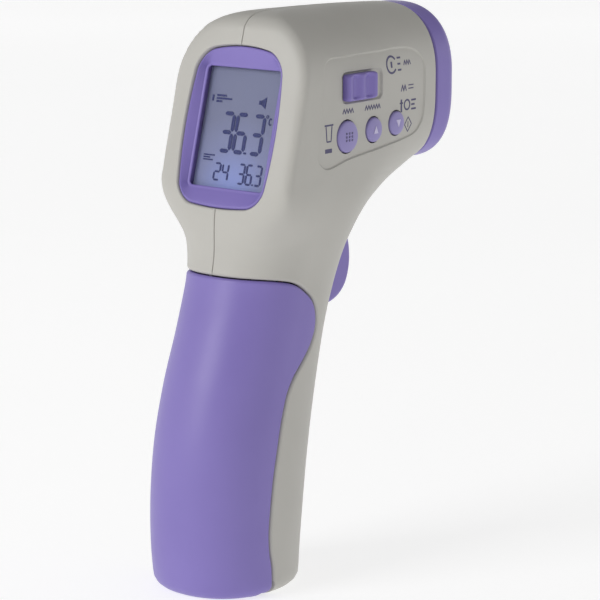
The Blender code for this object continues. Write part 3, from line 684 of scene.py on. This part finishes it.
def arc(centre, radius, start, end, steps=20):
    """Points along part of a circle, between two angles in degrees."""
    angles = np.radians(np.linspace(start, end, steps))
    return [(centre[0] + radius * math.cos(a), centre[1] + radius * math.sin(a)) for a in angles]


# ---------------------------------------------------------------- materials


class Finish:
    """A node material with small helpers for its procedural detail."""

    def __init__(self, name, roughness, metallic=0.0):
        self.material = bpy.data.materials.new(name)
        self.material.use_nodes = True
        self.tree = self.material.node_tree
        self.shader = self.tree.nodes["Principled BSDF"]
        self.shader.inputs["Roughness"].default_value = roughness
        self.shader.inputs["Metallic"].default_value = metallic
        self.place = self.node("ShaderNodeTexCoord").outputs["Object"]

    def node(self, kind, **settings):
        made = self.tree.nodes.new(kind)
        for key, value in settings.items():
            setattr(made, key, value)
        return made

    def link(self, a, b):
        self.tree.links.new(a, b)

    def noise(self, scale, detail=3.0, stretch=(1, 1, 1)):
        mapping = self.node("ShaderNodeMapping")
        mapping.inputs["Scale"].default_value = stretch
        self.link(self.place, mapping.inputs["Vector"])
        noise = self.node("ShaderNodeTexNoise")
        noise.inputs["Scale"].default_value = scale
        noise.inputs["Detail"].default_value = detail
        self.link(mapping.outputs["Vector"], noise.inputs["Vector"])
        return noise.outputs["Fac"]

    def ramp(self, value, stops):
        ramp = self.node("ShaderNodeValToRGB")
        while len(ramp.color_ramp.elements) < len(stops):
            ramp.color_ramp.elements.new(0.5)
        for element, (place, colour) in zip(ramp.color_ramp.elements, stops):
            element.position = place
            element.color = (*colour, 1.0)
        self.link(value, ramp.inputs["Fac"])
        return ramp.outputs["Color"]

    def mapped(self, value, low, high, start=0.0, end=1.0):
        made = self.node("ShaderNodeMapRange")
        made.inputs["From Min"].default_value = start
        made.inputs["From Max"].default_value = end
        made.inputs["To Min"].default_value = low
        made.inputs["To Max"].default_value = high
        self.link(value, made.inputs["Value"])
        return made.outputs["Result"]

    def colour(self, stops, scale=35.0, detail=4.0):
        """Base colour that drifts between the stops over a soft noise."""
        self.link(self.ramp(self.noise(scale, detail), stops), self.shader.inputs["Base Color"])

    def roughness(self, low, high, scale=220.0):
        self.link(self.mapped(self.noise(scale), low, high), self.shader.inputs["Roughness"])

    def grain(self, scale, strength, distance, detail=2.0, stretch=(1, 1, 1)):
        """Fine moulded texture as bump."""
        bump = self.node("ShaderNodeBump")
        bump.inputs["Strength"].default_value = strength
        bump.inputs["Distance"].default_value = distance
        self.link(self.noise(scale, detail, stretch), bump.inputs["Height"])
        self.link(bump.outputs["Normal"], self.shader.inputs["Normal"])

    def set(self, **values):
        for key, value in values.items():
            self.shader.inputs[key.replace("_", " ")].default_value = value
        return self


def srgb(r, g, b):
    """Linear colour of an 8-bit sRGB one."""
    return tuple(c / 12.92 if c <= 0.04045 else ((c + 0.055) / 1.055) ** 2.4
                 for c in (r / 255, g / 255, b / 255))


def plastic(name, dark, light, rough, grain=1600.0, bump=0.12):
    """Moulded plastic with a soft drift of colour and a fine grain."""
    made = Finish(name, rough)
    made.colour([(0.3, srgb(*dark)), (0.7, srgb(*light))])
    made.roughness(rough - 0.04, rough + 0.05)
    made.grain(grain, bump, 0.0001)
    return made.set(Specular_IOR_Level=0.45).material


def metal(name, dark, light, rough, stretch=(1, 1, 1)):
    """Bare metal with a brushed look along its stretch."""
    made = Finish(name, rough, 1.0)
    made.colour([(0.3, srgb(*dark)), (0.7, srgb(*light))], 120.0)
    made.roughness(rough - 0.06, rough + 0.1, 400.0)
    made.grain(900.0, 0.1, 0.00005, 2.0, stretch)
    return made.material


SHELL = plastic("shell_satin", (180, 178, 172), (185, 183, 177), 0.46)
PURPLE = plastic("purple_satin", (125, 111, 180), (130, 116, 185), 0.4, 1300.0, 0.1)
PURPLE_KEY = plastic("purple_key", (142, 133, 186), (148, 139, 191), 0.36, 1300.0, 0.08)
BLACK = plastic("black_moulded", (20, 20, 22), (27, 27, 30), 0.5, 900.0, 0.2)
WHITE = plastic("light_guide_white", (222, 225, 228), (232, 234, 236), 0.35, 900.0, 0.05)
RUBBER = plastic("contact_rubber_dark", (36, 36, 40), (46, 46, 50), 0.7, 700.0, 0.25)
PRINT = plastic("print_violet_grey", (78, 74, 108), (86, 82, 116), 0.55, 900.0, 0.05)
MARK = plastic("key_mark_pale", (196, 190, 220), (203, 197, 226), 0.5, 900.0, 0.05)
RED = plastic("red_insulation", (165, 24, 22), (176, 30, 27), 0.42, 900.0, 0.08)
DARK_LEAD = plastic("black_insulation", (22, 22, 24), (30, 30, 32), 0.42, 900.0, 0.08)
STEEL = metal("steel_bright", (168, 170, 172), (196, 198, 200), 0.28)
BRASS = metal("brass_turned", (176, 148, 88), (202, 172, 108), 0.3, (1, 8, 1))


def lcd_finish():
    """Reflective display glass, bluish, with the backlight brighter low in the middle."""
    made = Finish("lcd_glass_blue", 0.32)
    origin, _, up, _ = face_axes()
    glow_at = put(origin - up * (SCREEN[1] * 0.52))
    offset = made.node("ShaderNodeVectorMath", operation="DISTANCE")
    offset.inputs[1].default_value = tuple(glow_at)
    made.link(made.place, offset.inputs[0])
    near = made.mapped(offset.outputs["Value"], 1.0, 0.0, 0.0, 0.021)
    colours = [(0.0, srgb(126, 131, 160)), (0.4, srgb(129, 135, 172)), (0.75, srgb(132, 144, 198)),
               (1.0, srgb(134, 152, 216))]
    made.link(made.ramp(near, colours), made.shader.inputs["Base Color"])
    made.link(made.ramp(near, colours), made.shader.inputs["Emission Color"])
    made.link(made.mapped(near, 0.03, 0.3), made.shader.inputs["Emission Strength"])
    made.grain(2500.0, 0.05, 0.00005)
    return made.set(Specular_IOR_Level=0.3).material


def clear_finish():
    """Thin clear acrylic: mostly see-through, with a faint reflection."""
    made = Finish("clear_acrylic", 0.05)
    made.colour([(0.3, (0.02, 0.02, 0.03)), (0.7, (0.03, 0.03, 0.04))])
    return made.set(Alpha=0.05, Specular_IOR_Level=0.5).material


def infrared_finish():
    """Dark polished window that lets heat through."""
    made = Finish("infrared_silicon", 0.12)
    made.colour([(0.3, srgb(34, 26, 34)), (0.7, srgb(58, 44, 54))], 300.0)
    made.roughness(0.08, 0.18, 500.0)
    return made.set(Coat_Weight=0.6, Coat_Roughness=0.08).material


def board_finish():
    """Solder mask with faint tracks."""
    made = Finish("board_green", 0.4)
    tracks = made.node("ShaderNodeTexBrick")
    tracks.inputs["Scale"].default_value = 260.0
    tracks.inputs["Color1"].default_value = (*srgb(22, 88, 52), 1)
    tracks.inputs["Color2"].default_value = (*srgb(26, 98, 58), 1)
    tracks.inputs["Mortar"].default_value = (*srgb(44, 128, 80), 1)
    tracks.inputs["Mortar Size"].default_value = 0.05
    made.link(made.place, tracks.inputs["Vector"])
    made.link(tracks.outputs["Color"], made.shader.inputs["Base Color"])
    made.grain(700.0, 0.15, 0.00005)
    return made.set(Coat_Weight=0.3, Coat_Roughness=0.2).material


def cell_finish():
    """Printed jacket: dark with a coppery end band."""
    made = Finish("cell_jacket_print", 0.3, 0.4)
    split = made.node("ShaderNodeSeparateXYZ")
    made.link(made.place, split.inputs["Vector"])
    band = made.mapped(split.outputs["Z"], 0.0, 1.0, 0.046, 0.0465)
    made.link(made.ramp(band, [(0.0, srgb(30, 31, 36)), (1.0, srgb(170, 120, 70))]),
              made.shader.inputs["Base Color"])
    made.roughness(0.25, 0.36, 400.0)
    return made.set(Coat_Weight=0.4, Coat_Roughness=0.15).material


SLOT_FINISHES = {
    "shell_plastic": SHELL, "purple_plastic": PURPLE, "black_plastic": BLACK,
    "clear_window": clear_finish(), "lcd_glass": lcd_finish(), "light_guide": WHITE,
    "contact_rubber": RUBBER, "circuit_board": board_finish(), "sensor_brass": BRASS,
    "steel": STEEL, "infrared_window": infrared_finish(), "cell_jacket": cell_finish(),
    "red_wire": RED,
}


def finish_frame():
    """Gives every carried-over CAD node the finish of its slot."""
    for name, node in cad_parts.items():
        for slot in node.material_slots:
            key = slot.material.name.split(".")[0] if slot.material else ""
            slot.material = SLOT_FINISHES.get(key, BLACK)
        if name == "black_lead":
            node.material_slots[0].material = DARK_LEAD


# ---------------------------------------------------------------- casing pieces


def tube(radius, bore, low, high, centre, steps=32):
    """A post with a bore, along X."""
    rings = []
    for r, x in ((radius, low), (radius, high), (bore, high), (bore, low)):
        rings.append([(x, centre[0] + r * math.cos(a), centre[1] + r * math.sin(a))
                      for a in np.linspace(0, 2 * math.pi, steps, endpoint=False)])
    return loft(rings, closed=True)


def shell_inside(side):
    """Posts for the screws and the trigger pin, and the hinge ear."""
    parts = []
    for y, z in SCREWS:
        reach = post_reach(y, z)
        bore = 1.4 if side > 0 else 1.6
        parts.append(tube(POST_RADIUS, bore, side * PARTING_GAP, side * reach, (y, z)))
    reach = post_reach(*TRIGGER_PIN)
    parts.append(tube(POST_RADIUS, 1.3, side * (TRIGGER_HALF + 0.5), side * reach, TRIGGER_PIN))
    parts.append(tube(KNUCKLE, 1.0, side * 4.1, side * 8.5, COVER_PIVOT))
    return parts


def post_reach(y, z):
    """How far from the middle a post at (y, z) can go before it leaves the wall."""
    angles = np.linspace(0, 2 * math.pi, 8)
    around = [(y + POST_RADIUS * math.cos(a), z + POST_RADIUS * math.sin(a)) for a in angles]
    return min(side_x(*place) for place in around) - WALL * 0.9


def shells():
    """Both casing halves: the wall with its openings, and the posts inside."""
    shared = [
        (beyond, 0.22, 0.22), (off_cover, 0.9, 0.25), (off_hinge, 0.3, 0.35),
        (off_face, 0.55, 0.2), (off_trigger, 0.6, 0.3), (off_sound_holes, 0.12, 0.1),
    ]
    keys = [(off_circle(*centre, radius + KEY_GAP), 0.3, 0.18) for centre, radius in KEYS.values()]
    recesses = [(off_label, 0.2, LABEL_DEPTH), (off_tray, 0.22, TRAY_DEPTH)]
    right = skin(shared + keys + [(off_slot, 0.3, 0.18)], recesses)
    sinks = [(off_circle(y, z, SCREW_SINK), 0.3, 0.2) for y, z in SCREWS]
    points, faces = skin(shared + sinks)
    left = (points * (-1, 1, 1), faces[:, ::-1])
    for name, side, wall in (("right", 1, right), ("left", -1, left)):
        made = piece(f"shell_{name}_skin", [wall] + shell_inside(side), SHELL)
        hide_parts(f"shell_{name}")


def cover():
    """The battery cover with its hinge knuckles and its latch."""
    edges = [(on_cover, 0.9, 0.25), (off_ears, 0.3, 0.35)]
    wall = skin(edges, keep_centre=True)
    extras = []
    for side in (-1, 1):
        extras.append(tube(KNUCKLE, 1.0, side * 9.4, side * 13.4, COVER_PIVOT))
        extras.append(block((side * 11.4, COVER_PIVOT[0] - 1.9, 1.5), (4.0, 3.0, 1.4), 0.3))
    extras.append(block((0, -33.1, 80.8), (9.0, 4.0, 1.6), 0.35))
    made = piece("battery_cover_skin", [wall] + extras, PURPLE, "battery_door")
    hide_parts("battery_cover")


def block(centre, size, radius):
    """A small block with rounded upright and lying edges."""
    rings = []
    for k in range(5):
        angle = math.pi / 2 * k / 4
        inset, height = radius * (1 - math.sin(angle)), radius * (1 - math.cos(angle))
        rings.append((inset, height))
    rings += [(inset, size[2] - height) for inset, height in rings[::-1]]
    shaped = []
    for inset, height in rings:
        outline = rounded_rect(size[0] - 2 * inset, size[1] - 2 * inset, radius, 4)
        shaped.append([(centre[0] + x, centre[1] + y, centre[2] - size[2] / 2 + height)
                       for x, y in outline])
    return loft(shaped)


# ---------------------------------------------------------------- nose


def nose():
    """The ring round the nose: an oval shoulder that runs into a round mouth."""
    count = 160
    top = TOP - TOP_FALL * SHELL_FRONT**2 - 0.02
    bottom = float(np.interp(SHELL_FRONT, FRONT[:, 0], FRONT[:, 1])) + 0.02
    middle, reach = (top + bottom) / 2, (top - bottom) / 2
    angles = 2 * math.pi * (np.arange(count) + 0.5) / count
    heights = middle + reach * np.sin(angles)
    sides = surface_x(np.full(count, SHELL_FRONT), heights) * np.sign(np.cos(angles))

    def oval(y, inset):
        x = sides * (1 - inset / HEAD_FRONT_HALF)
        z = middle + (heights - middle) * (1 - inset / reach)
        return np.stack([x, np.full(count, y), z], axis=1)

    def circle(y, radius):
        aim = np.arctan2(heights - NOSE_AXIS_Z, sides)
        return np.stack([radius * np.cos(aim), np.full(count, y),
                         NOSE_AXIS_Z + radius * np.sin(aim)], axis=1)

    spigot = 2.9
    back = SHELL_FRONT + 0.3
    rings = [circle(32.0, NOSE_HOLE + 0.3), oval(32.0, spigot), oval(back - 0.05, spigot)]
    rings += [oval(back, 0.9), oval(back + 0.1, 0.35), oval(back + 0.35, 0.12)]
    for k in range(13):
        angle = math.pi / 2 * k / 12
        rings.append(oval(NOSE_FRONT - NOSE_ROUND * (1 - math.sin(angle)),
                          0.15 + NOSE_ROUND * (1 - math.cos(angle))))
    mouth = NOSE_HOLE + 0.3
    for k in range(6):
        angle = math.pi / 2 * k / 5
        lip = 0.8
        rings.append(circle(NOSE_FRONT - lip * (1 - math.cos(angle)) - 0.01,
                            mouth + lip * (1 - math.sin(angle))))
    made = piece("nose_ring_form", [loft(rings, closed=True)], PURPLE)
    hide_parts("nose_ring")


def funnel():
    """The polished cone round the sensor, with a rolled lip."""
    profile = [(14.0, 41.0), (14.0, 44.5), (13.85, 44.9), (13.5, 45.0), (13.1, 44.9), (12.8, 44.5),
               (11.6, 42.0), (8.4, 35.4), (5.4, 29.5), (7.6, 29.5), (10.8, 35.2)]
    rings = []
    for radius, y in profile:
        angles = np.linspace(0, 2 * math.pi, 96, endpoint=False)
        rings.append([(radius * math.cos(a), y, NOSE_AXIS_Z + radius * math.sin(a)) for a in angles])
    made = piece("sensor_funnel_form", [loft(rings, closed=True)], BLACK)
    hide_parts("sensor_funnel")


# ---------------------------------------------------------------- display


def face_point(u, v, depth):
    """A point of the display's frame: across, up, and depth below the face."""
    origin, across, up, out = face_axes()
    return tuple(origin + across * u + up * v - out * depth)


def bezel():
    """Dished frame round the screen, with rounded outer and inner edges."""
    gap, lip = 0.18, 0.55
    rings = [(face_outline(gap), POCKET_BACK), (face_outline(gap), 0.85 + lip)]
    for k in range(1, 7):
        angle = math.pi / 2 * k / 6
        inset = gap + lip * (1 - math.cos(angle))
        rings.append((face_outline(inset), 0.85 + lip * (1 - math.sin(angle))))
    outer = face_outline(gap + lip)
    inner = np.array(rounded_rect(SCREEN[0] + 1.2, SCREEN[1] + 1.2, 1.7))
    for k in range(1, 11):
        share = k / 10
        rings.append((outer + (inner - outer) * share, 0.85 + 1.75 * share**1.15))
    for k in range(1, 6):
        angle = math.pi / 2 * k / 5
        grow = 1.2 * (1 - math.sin(angle))
        ring = np.array(rounded_rect(SCREEN[0] + grow, SCREEN[1] + grow, 1.1 + grow / 2))
        rings.append((ring, 2.6 + 0.35 * (1 - math.cos(angle))))
    rings.append((rounded_rect(*SCREEN, 1.1), 3.1))
    pocket = rounded_rect(GLASS[0] + 0.6, GLASS[1] + 0.6, 1.0)
    rings += [(pocket, 3.1), (pocket, POCKET_BACK)]
    placed = [[face_point(x, y, depth) for x, y in ring] for ring, depth in rings]
    made = piece("display_bezel_form", [loft(placed, closed=True)], PURPLE)
    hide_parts("display_bezel")


DIGIT_SEGMENTS = {"2": "abged", "3": "abgcd", "4": "fgbc", "6": "afgecd"}


def digit(character, u, v, width, height, weight):
    """Seven-segment strokes of one digit whose lower left corner is at (u, v)."""
    half = height / 2
    corners = {
        "a": ((0, height), (width, height)), "g": ((0, half), (width, half)),
        "d": ((0, 0), (width, 0)), "f": ((0, half), (0, height)), "b": ((width, half), (width, height)),
        "e": ((0, 0), (0, half)), "c": ((width, 0), (width, half)),
    }
    strokes = []
    for name in DIGIT_SEGMENTS[character]:
        (x0, y0), (x1, y1) = corners[name]
        start, end = np.array([u + x0, v + y0]), np.array([u + x1, v + y1])
        along = (end - start) / np.linalg.norm(end - start)
        gap = weight * 0.28
        line = [start + along * gap, start + along * (gap + weight / 2),
                end - along * (gap + weight / 2), end - along * gap]
        strokes.append(ribbon(line, [weight * 0.3, weight, weight, weight * 0.3],
                              face_point, LCD_DEPTH, LCD_DEPTH - 0.1))
    return strokes


def lcd_marks():
    """Reading, log number and stored reading, with plain symbols for the mode and sound."""
    width, height = SCREEN

    def at(u, v):
        return (u - 0.5) * width - LCD_SHIFT, (0.5 - v) * height

    def line(points, weight):
        return stroke([at(*p) for p in points], weight, face_point, LCD_DEPTH, LCD_DEPTH - 0.1)

    parts = []
    for character, left in (("3", 0.315), ("6", 0.505), ("3", 0.73)):
        parts += digit(character, *at(left, 0.69), 3.4, 9.8, 1.1)
    parts.append(line([(0.672, 0.685), (0.672, 0.7)], 0.9))
    for character, left in (("2", 0.30), ("4", 0.41)):
        parts += digit(character, *at(left, 0.935), 1.9, 4.3, 0.5)
    for character, left in (("3", 0.635), ("6", 0.74), ("3", 0.865)):
        parts += digit(character, *at(left, 0.945), 1.8, 5.0, 0.55)
    parts.append(line([(0.84, 0.938), (0.84, 0.95)], 0.5))
    ring = [(0.90 + 0.014 * math.cos(a), 0.375 + 0.011 * math.sin(a))
            for a in np.linspace(0, 2 * math.pi, 14)]
    parts.append(line(ring, 0.22))
    hook = [(0.96, 0.395), (0.945, 0.388), (0.93, 0.398), (0.93, 0.43), (0.945, 0.442), (0.96, 0.435)]
    parts.append(line(hook, 0.34))
    parts.append(line([(0.755, 0.265), (0.80, 0.265)], 1.1))
    parts.append(ribbon([at(0.785, 0.265), at(0.85, 0.265)], [1.0, 3.1], face_point, LCD_DEPTH,
                        LCD_DEPTH - 0.1))
    parts.append(line([(0.12, 0.235), (0.12, 0.285)], 0.55))
    parts.append(line([(0.17, 0.235), (0.30, 0.235)], 0.5))
    parts.append(line([(0.17, 0.26), (0.38, 0.26)], 0.5))
    parts.append(line([(0.17, 0.285), (0.25, 0.285)], 0.5))
    for k, reach in enumerate((0.27, 0.21, 0.25)):
        height_at = 0.735 + 0.02 * k
        parts.append(line([(0.12, height_at), (reach, height_at)], 0.36))
    piece("lcd_marks", parts, LCD_INK)


LCD_INK = plastic("lcd_segment_ink", (42, 50, 108), (48, 56, 114), 0.5, 900.0, 0.03)


# ---------------------------------------------------------------- controls


def label_point(y, z, rise):
    """A point over the label panel, by how far it stands above the panel."""
    return side_x(y, z) - LABEL_DEPTH + rise, y, z


def keys():
    """Three round keys with domed tops and a wide foot inside the wall."""
    for name, (centre, radius) in KEYS.items():
        y, z = centre
        crown = side_x(y, z) + 0.55
        inside = side_x(y + radius + 1, z - 2) - 2.3
        domed = curved([(0.0, 0.0), (radius * 0.45, -0.06), (radius * 0.78, -0.22)], 6)
        edge = [(radius - 0.55 + 0.55 * math.sin(a), -0.3 - 0.55 * (1 - math.cos(a)))
                for a in np.linspace(0.1, math.pi / 2, 7)]
        profile = [(max(r, 0.02), crown + h) for r, h in domed + edge]
        profile += [(radius, inside), (radius + 1.0, inside), (radius + 1.0, inside - 0.6),
                    (1.6, inside - 0.6), (1.6, 16.1), (0.02, 16.1)]
        parts = [lathe(profile, (0.0, y, z))]
        made = piece(f"{name}_key_cap", parts, PURPLE_KEY, f"{name}_key")
        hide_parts(f"{name}_button")
        key_mark(name, centre, crown)


def key_mark(name, centre, crown):
    """Raised arrow on the two small keys, and a cluster of dots on the large one."""
    y0, z0 = centre

    def over(y, z, rise):
        out = math.hypot(y, z)
        return crown - 0.018 * out**2 + rise, y0 + y, z0 + z

    parts = []
    if name == "mode":
        for row in (-1, 0, 1):
            for column in (-1, 0, 1):
                spot = arc((column * 1.15, row * 0.9), 0.22, 0, 330, 9)
                parts.append(stroke(spot, 0.2, over, -0.1, 0.06, 0.3))
    else:
        turn = 1 if name == "up" else -1
        line = [(0, turn * -0.95), (0, turn * 0.95)]
        parts.append(ribbon(line, [1.8, 0.12], over, -0.1, 0.12))
    piece(f"{name}_key_mark", parts, MARK if name != "mode" else PRINT, f"{name}_key")


def knob():
    """Slide knob: a rounded block with two wide finger grooves across its travel."""
    y0, z0 = SWITCH_CENTRE
    length, height = KNOB
    surface = side_x(y0, z0)
    face = surface + KNOB_PROUD
    base = surface - LABEL_DEPTH - TRAY_DEPTH + 0.14
    radius = 0.9
    share = np.linspace(-1, 1, 81)
    rings = []
    bend = np.sin(np.linspace(0, math.pi / 2, 9))
    edge = 1 - 2 * radius / height
    heights = np.concatenate([-1 + (1 - edge) * (1 - bend[::-1]), np.linspace(-edge, edge, 9)[1:-1],
                              edge + (1 - edge) * bend])
    for v in heights:
        z = v * height / 2
        side = max(0.0, abs(z) - (height / 2 - radius))
        pull = radius - math.sqrt(max(radius**2 - side**2, 0))
        half = length / 2 - pull
        y = share * half
        wave = 0.5 * (1 - np.cos(2 * math.pi * np.clip(share / 0.86, -1, 1))) * (1 - side / radius)
        end = np.clip(np.abs(y) - (half - radius), 0, radius)
        drop = radius - np.sqrt(radius**2 - end**2)
        top = face - np.maximum(wave, drop) - pull
        slope = -SIDE_SLOPE * y
        upper = [(float(a + c), y0 + float(b), z0 + z) for a, b, c in zip(top, y, slope)]
        lower = [(base + float(c), y0 + float(b), z0 + z) for b, c in zip(y[::-1], slope[::-1])]
        rings.append(upper + lower)
    flange_x = side_x(y0 + length, z0) - 2.8
    flange = block_x((flange_x, y0, z0), (1.0, 11.0, 5.6), 0.4)
    stem = block_x(((base + flange_x) / 2, y0, z0), (base - flange_x, STEM_WIDTH, STEM_WIDTH), 0.2)
    made = piece("slide_knob_form", [loft(rings), stem, flange], PURPLE, "slider")
    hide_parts("slide_knob")


def block_x(centre, size, radius):
    """A rounded plate standing across X."""
    points, faces = block((0, 0, 0), (size[1], size[2], size[0]), radius)
    turned = np.stack([points[:, 2], points[:, 0], points[:, 1]], axis=1) + centre
    return turned, faces


def trigger():
    """The trigger: one outline swept across, with rounded flanks."""
    outline = closed_spline([
        (14.4, 88.0), (15.5, 83.0), (15.1, 78.3), (13.3, 74.1), (10.0, 71.3), (5.6, 70.0),
        (1.8, 70.6), (0.6, 76.0), (0.0, 82.0), (-1.8, 90.0), (-1.6, 95.5), (2.0, 97.6),
        (6.0, 96.4), (10.4, 93.0),
    ], 8)
    step = np.roll(outline, -1, axis=0) - np.roll(outline, 1, axis=0)
    step /= np.linalg.norm(step, axis=1, keepdims=True)
    inward = np.stack([step[:, 1], -step[:, 0]], axis=1)
    centre = outline.mean(axis=0)
    if ((centre - outline) * inward).sum() < 0:
        inward = -inward
    radius = 1.7
    rings = []
    angles = np.linspace(-math.pi / 2, math.pi / 2, 19)
    for angle in angles:
        side = math.copysign(TRIGGER_HALF - radius, angle) if abs(angle) > 1e-9 else 0.0
        x = side + radius * math.sin(angle)
        pulled = outline + inward * radius * (1 - math.cos(angle))
        rings.append([(x, y, z) for y, z in pulled])
    made = piece("trigger_form", [loft(rings)], PURPLE, "trigger_lever")
    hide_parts("trigger")


def squiggle(start, length, height, waves):
    """An even zigzag line, standing for a printed word."""
    count = 2 * waves + 1
    return [(start[0] + length * k / (count - 1), start[1] + height * (0.5 if k % 2 else -0.5))
            for k in range(count)]


def label_print():
    """Plain printed symbols on the label panel: bars, rings and zigzags, no lettering."""
    parts = []

    def line(points, weight):
        parts.append(stroke(points, weight, label_point, -0.05, 0.035))

    line(squiggle((-7.6, 124.5), 4.8, 1.3, 4), 0.34)
    line(squiggle((2.4, 124.5), 7.0, 1.3, 6), 0.34)
    line(arc((14.9, 134.8), 2.2, 35, 325), 0.55)
    line([(14.9, 134.0), (14.9, 135.6)], 0.7)
    line([(17.7, 136.4), (19.3, 136.4)], 0.5)
    line([(17.7, 134.8), (19.0, 134.8)], 0.5)
    line([(17.7, 133.2), (19.3, 133.2)], 0.5)
    line(squiggle((20.6, 134.9), 3.2, 1.3, 3), 0.3)
    line(squiggle((19.2, 128.2), 2.4, 1.7, 2), 0.36)
    line([(22.6, 128.8), (25.0, 128.8)], 0.3)
    line([(22.6, 127.9), (25.0, 127.9)], 0.3)
    line([(19.3, 125.2), (19.3, 121.8)], 0.7)
    line([(18.5, 124.2), (20.1, 124.2)], 0.4)
    line(arc((22.0, 123.6), 1.3, 0, 360), 0.5)
    line([(24.0, 124.7), (26.2, 124.7)], 0.5)
    line([(24.0, 123.5), (25.6, 123.5)], 0.5)
    line([(24.0, 122.3), (26.2, 122.3)], 0.5)
    line([(20.9, 118.3), (22.6, 120.3), (24.3, 118.3), (22.6, 116.3), (20.9, 118.3)], 0.3)
    line([(22.6, 119.1), (22.6, 117.5)], 0.3)
    line([(-15.0, 121.3), (-14.6, 117.4), (-12.8, 117.4), (-12.4, 121.3)], 0.4)
    line([(-15.6, 121.6), (-11.8, 121.6)], 0.45)
    line([(-15.4, 115.0), (-12.4, 115.0)], 1.1)
    piece("label_print", parts, PRINT)


# ---------------------------------------------------------------- stage


def stage():
    """A pale floor that curves up all round."""
    steps = 96
    profile = [(0.02, 0.0), (0.3, 0.0), (1.0, 0.0), (1.7, 0.0)]
    profile += [(1.7 + 0.7 * math.sin(a), 0.7 * (1 - math.cos(a)))
                for a in np.linspace(0.1, math.pi / 2, 14)]
    profile.append((2.4, 0.9))
    points, faces = [], []
    for radius, height in profile:
        for k in range(steps):
            angle = 2 * math.pi * k / steps
            points.append((radius * math.cos(angle), radius * math.sin(angle), height))
    for i in range(len(profile) - 1):
        for k in range(steps):
            j = (k + 1) % steps
            faces.append((i * steps + k, i * steps + j, (i + 1) * steps + j, (i + 1) * steps + k))
    faces.append(tuple(range(steps))[::-1])
    mesh = bpy.data.meshes.new("floor")
    mesh.from_pydata(points, [], faces)
    mesh.shade_smooth()
    finish = Finish("floor_paper", 0.75)
    finish.colour([(0.3, (0.4, 0.4, 0.4)), (0.7, (0.42, 0.42, 0.42))], 3.0)
    finish.set(Emission_Color=(1.0, 1.0, 1.0, 1.0), Emission_Strength=0.7)
    mesh.materials.append(finish.material)
    floor = bpy.data.objects.new("floor", mesh)
    bpy.context.scene.collection.objects.link(floor)


def lamp(name, place, size, power, colour=(1.0, 1.0, 1.0)):
    """A square softbox aimed at the thermometer's middle."""
    data = bpy.data.lights.new(name, "AREA")
    data.size = size
    data.energy = power
    data.color = colour
    made = bpy.data.objects.new(name, data)
    made.location = place
    aim = Vector((0, 0, 0.08)) - Vector(place)
    made.rotation_euler = aim.to_track_quat("-Z", "Y").to_euler()
    bpy.context.scene.collection.objects.link(made)


def lights():
    """A softbox behind the display side, a broad one overhead and a weak one in front."""
    lamp("key_light", (-0.5, -1.55, 0.95), 0.8, 14.0)
    lamp("top_light", (-0.1, 0.1, 1.7), 1.6, 3.0)
    lamp("front_light", (0.9, 1.1, 0.6), 0.8, 0.6)
    world = bpy.data.worlds.new("studio")
    world.use_nodes = True
    background = world.node_tree.nodes["Background"]
    background.inputs["Color"].default_value = (1.0, 1.0, 1.0, 1.0)
    background.inputs["Strength"].default_value = 0.2
    bpy.context.scene.world = world


def camera():
    """Long lens, behind and to the right of the display, a little above."""
    data = bpy.data.cameras.new("camera")
    data.sensor_width = 36.0
    data.lens = 156.0
    data.clip_start = 0.05
    made = bpy.data.objects.new("camera", data)
    azimuth, elevation, distance = math.radians(40), math.radians(11), 0.6991
    away = Vector((math.sin(azimuth) * math.cos(elevation), -math.cos(azimuth) * math.cos(elevation),
                   math.sin(elevation)))
    made.location = Vector((0.0, CENTRE_SHIFT_Y * MM, 0.0714)) + away * distance
    made.rotation_euler = (-away).to_track_quat("-Z", "Y").to_euler()
    bpy.context.scene.collection.objects.link(made)
    bpy.context.scene.camera = made


# ---------------------------------------------------------------- build

bpy.context.scene.view_settings.view_transform = "Standard"
camera()
lights()
stage()
finish_frame()
shells()
cover()
nose()
funnel()
bezel()
lcd_marks()
keys()
knob()
trigger()
label_print()
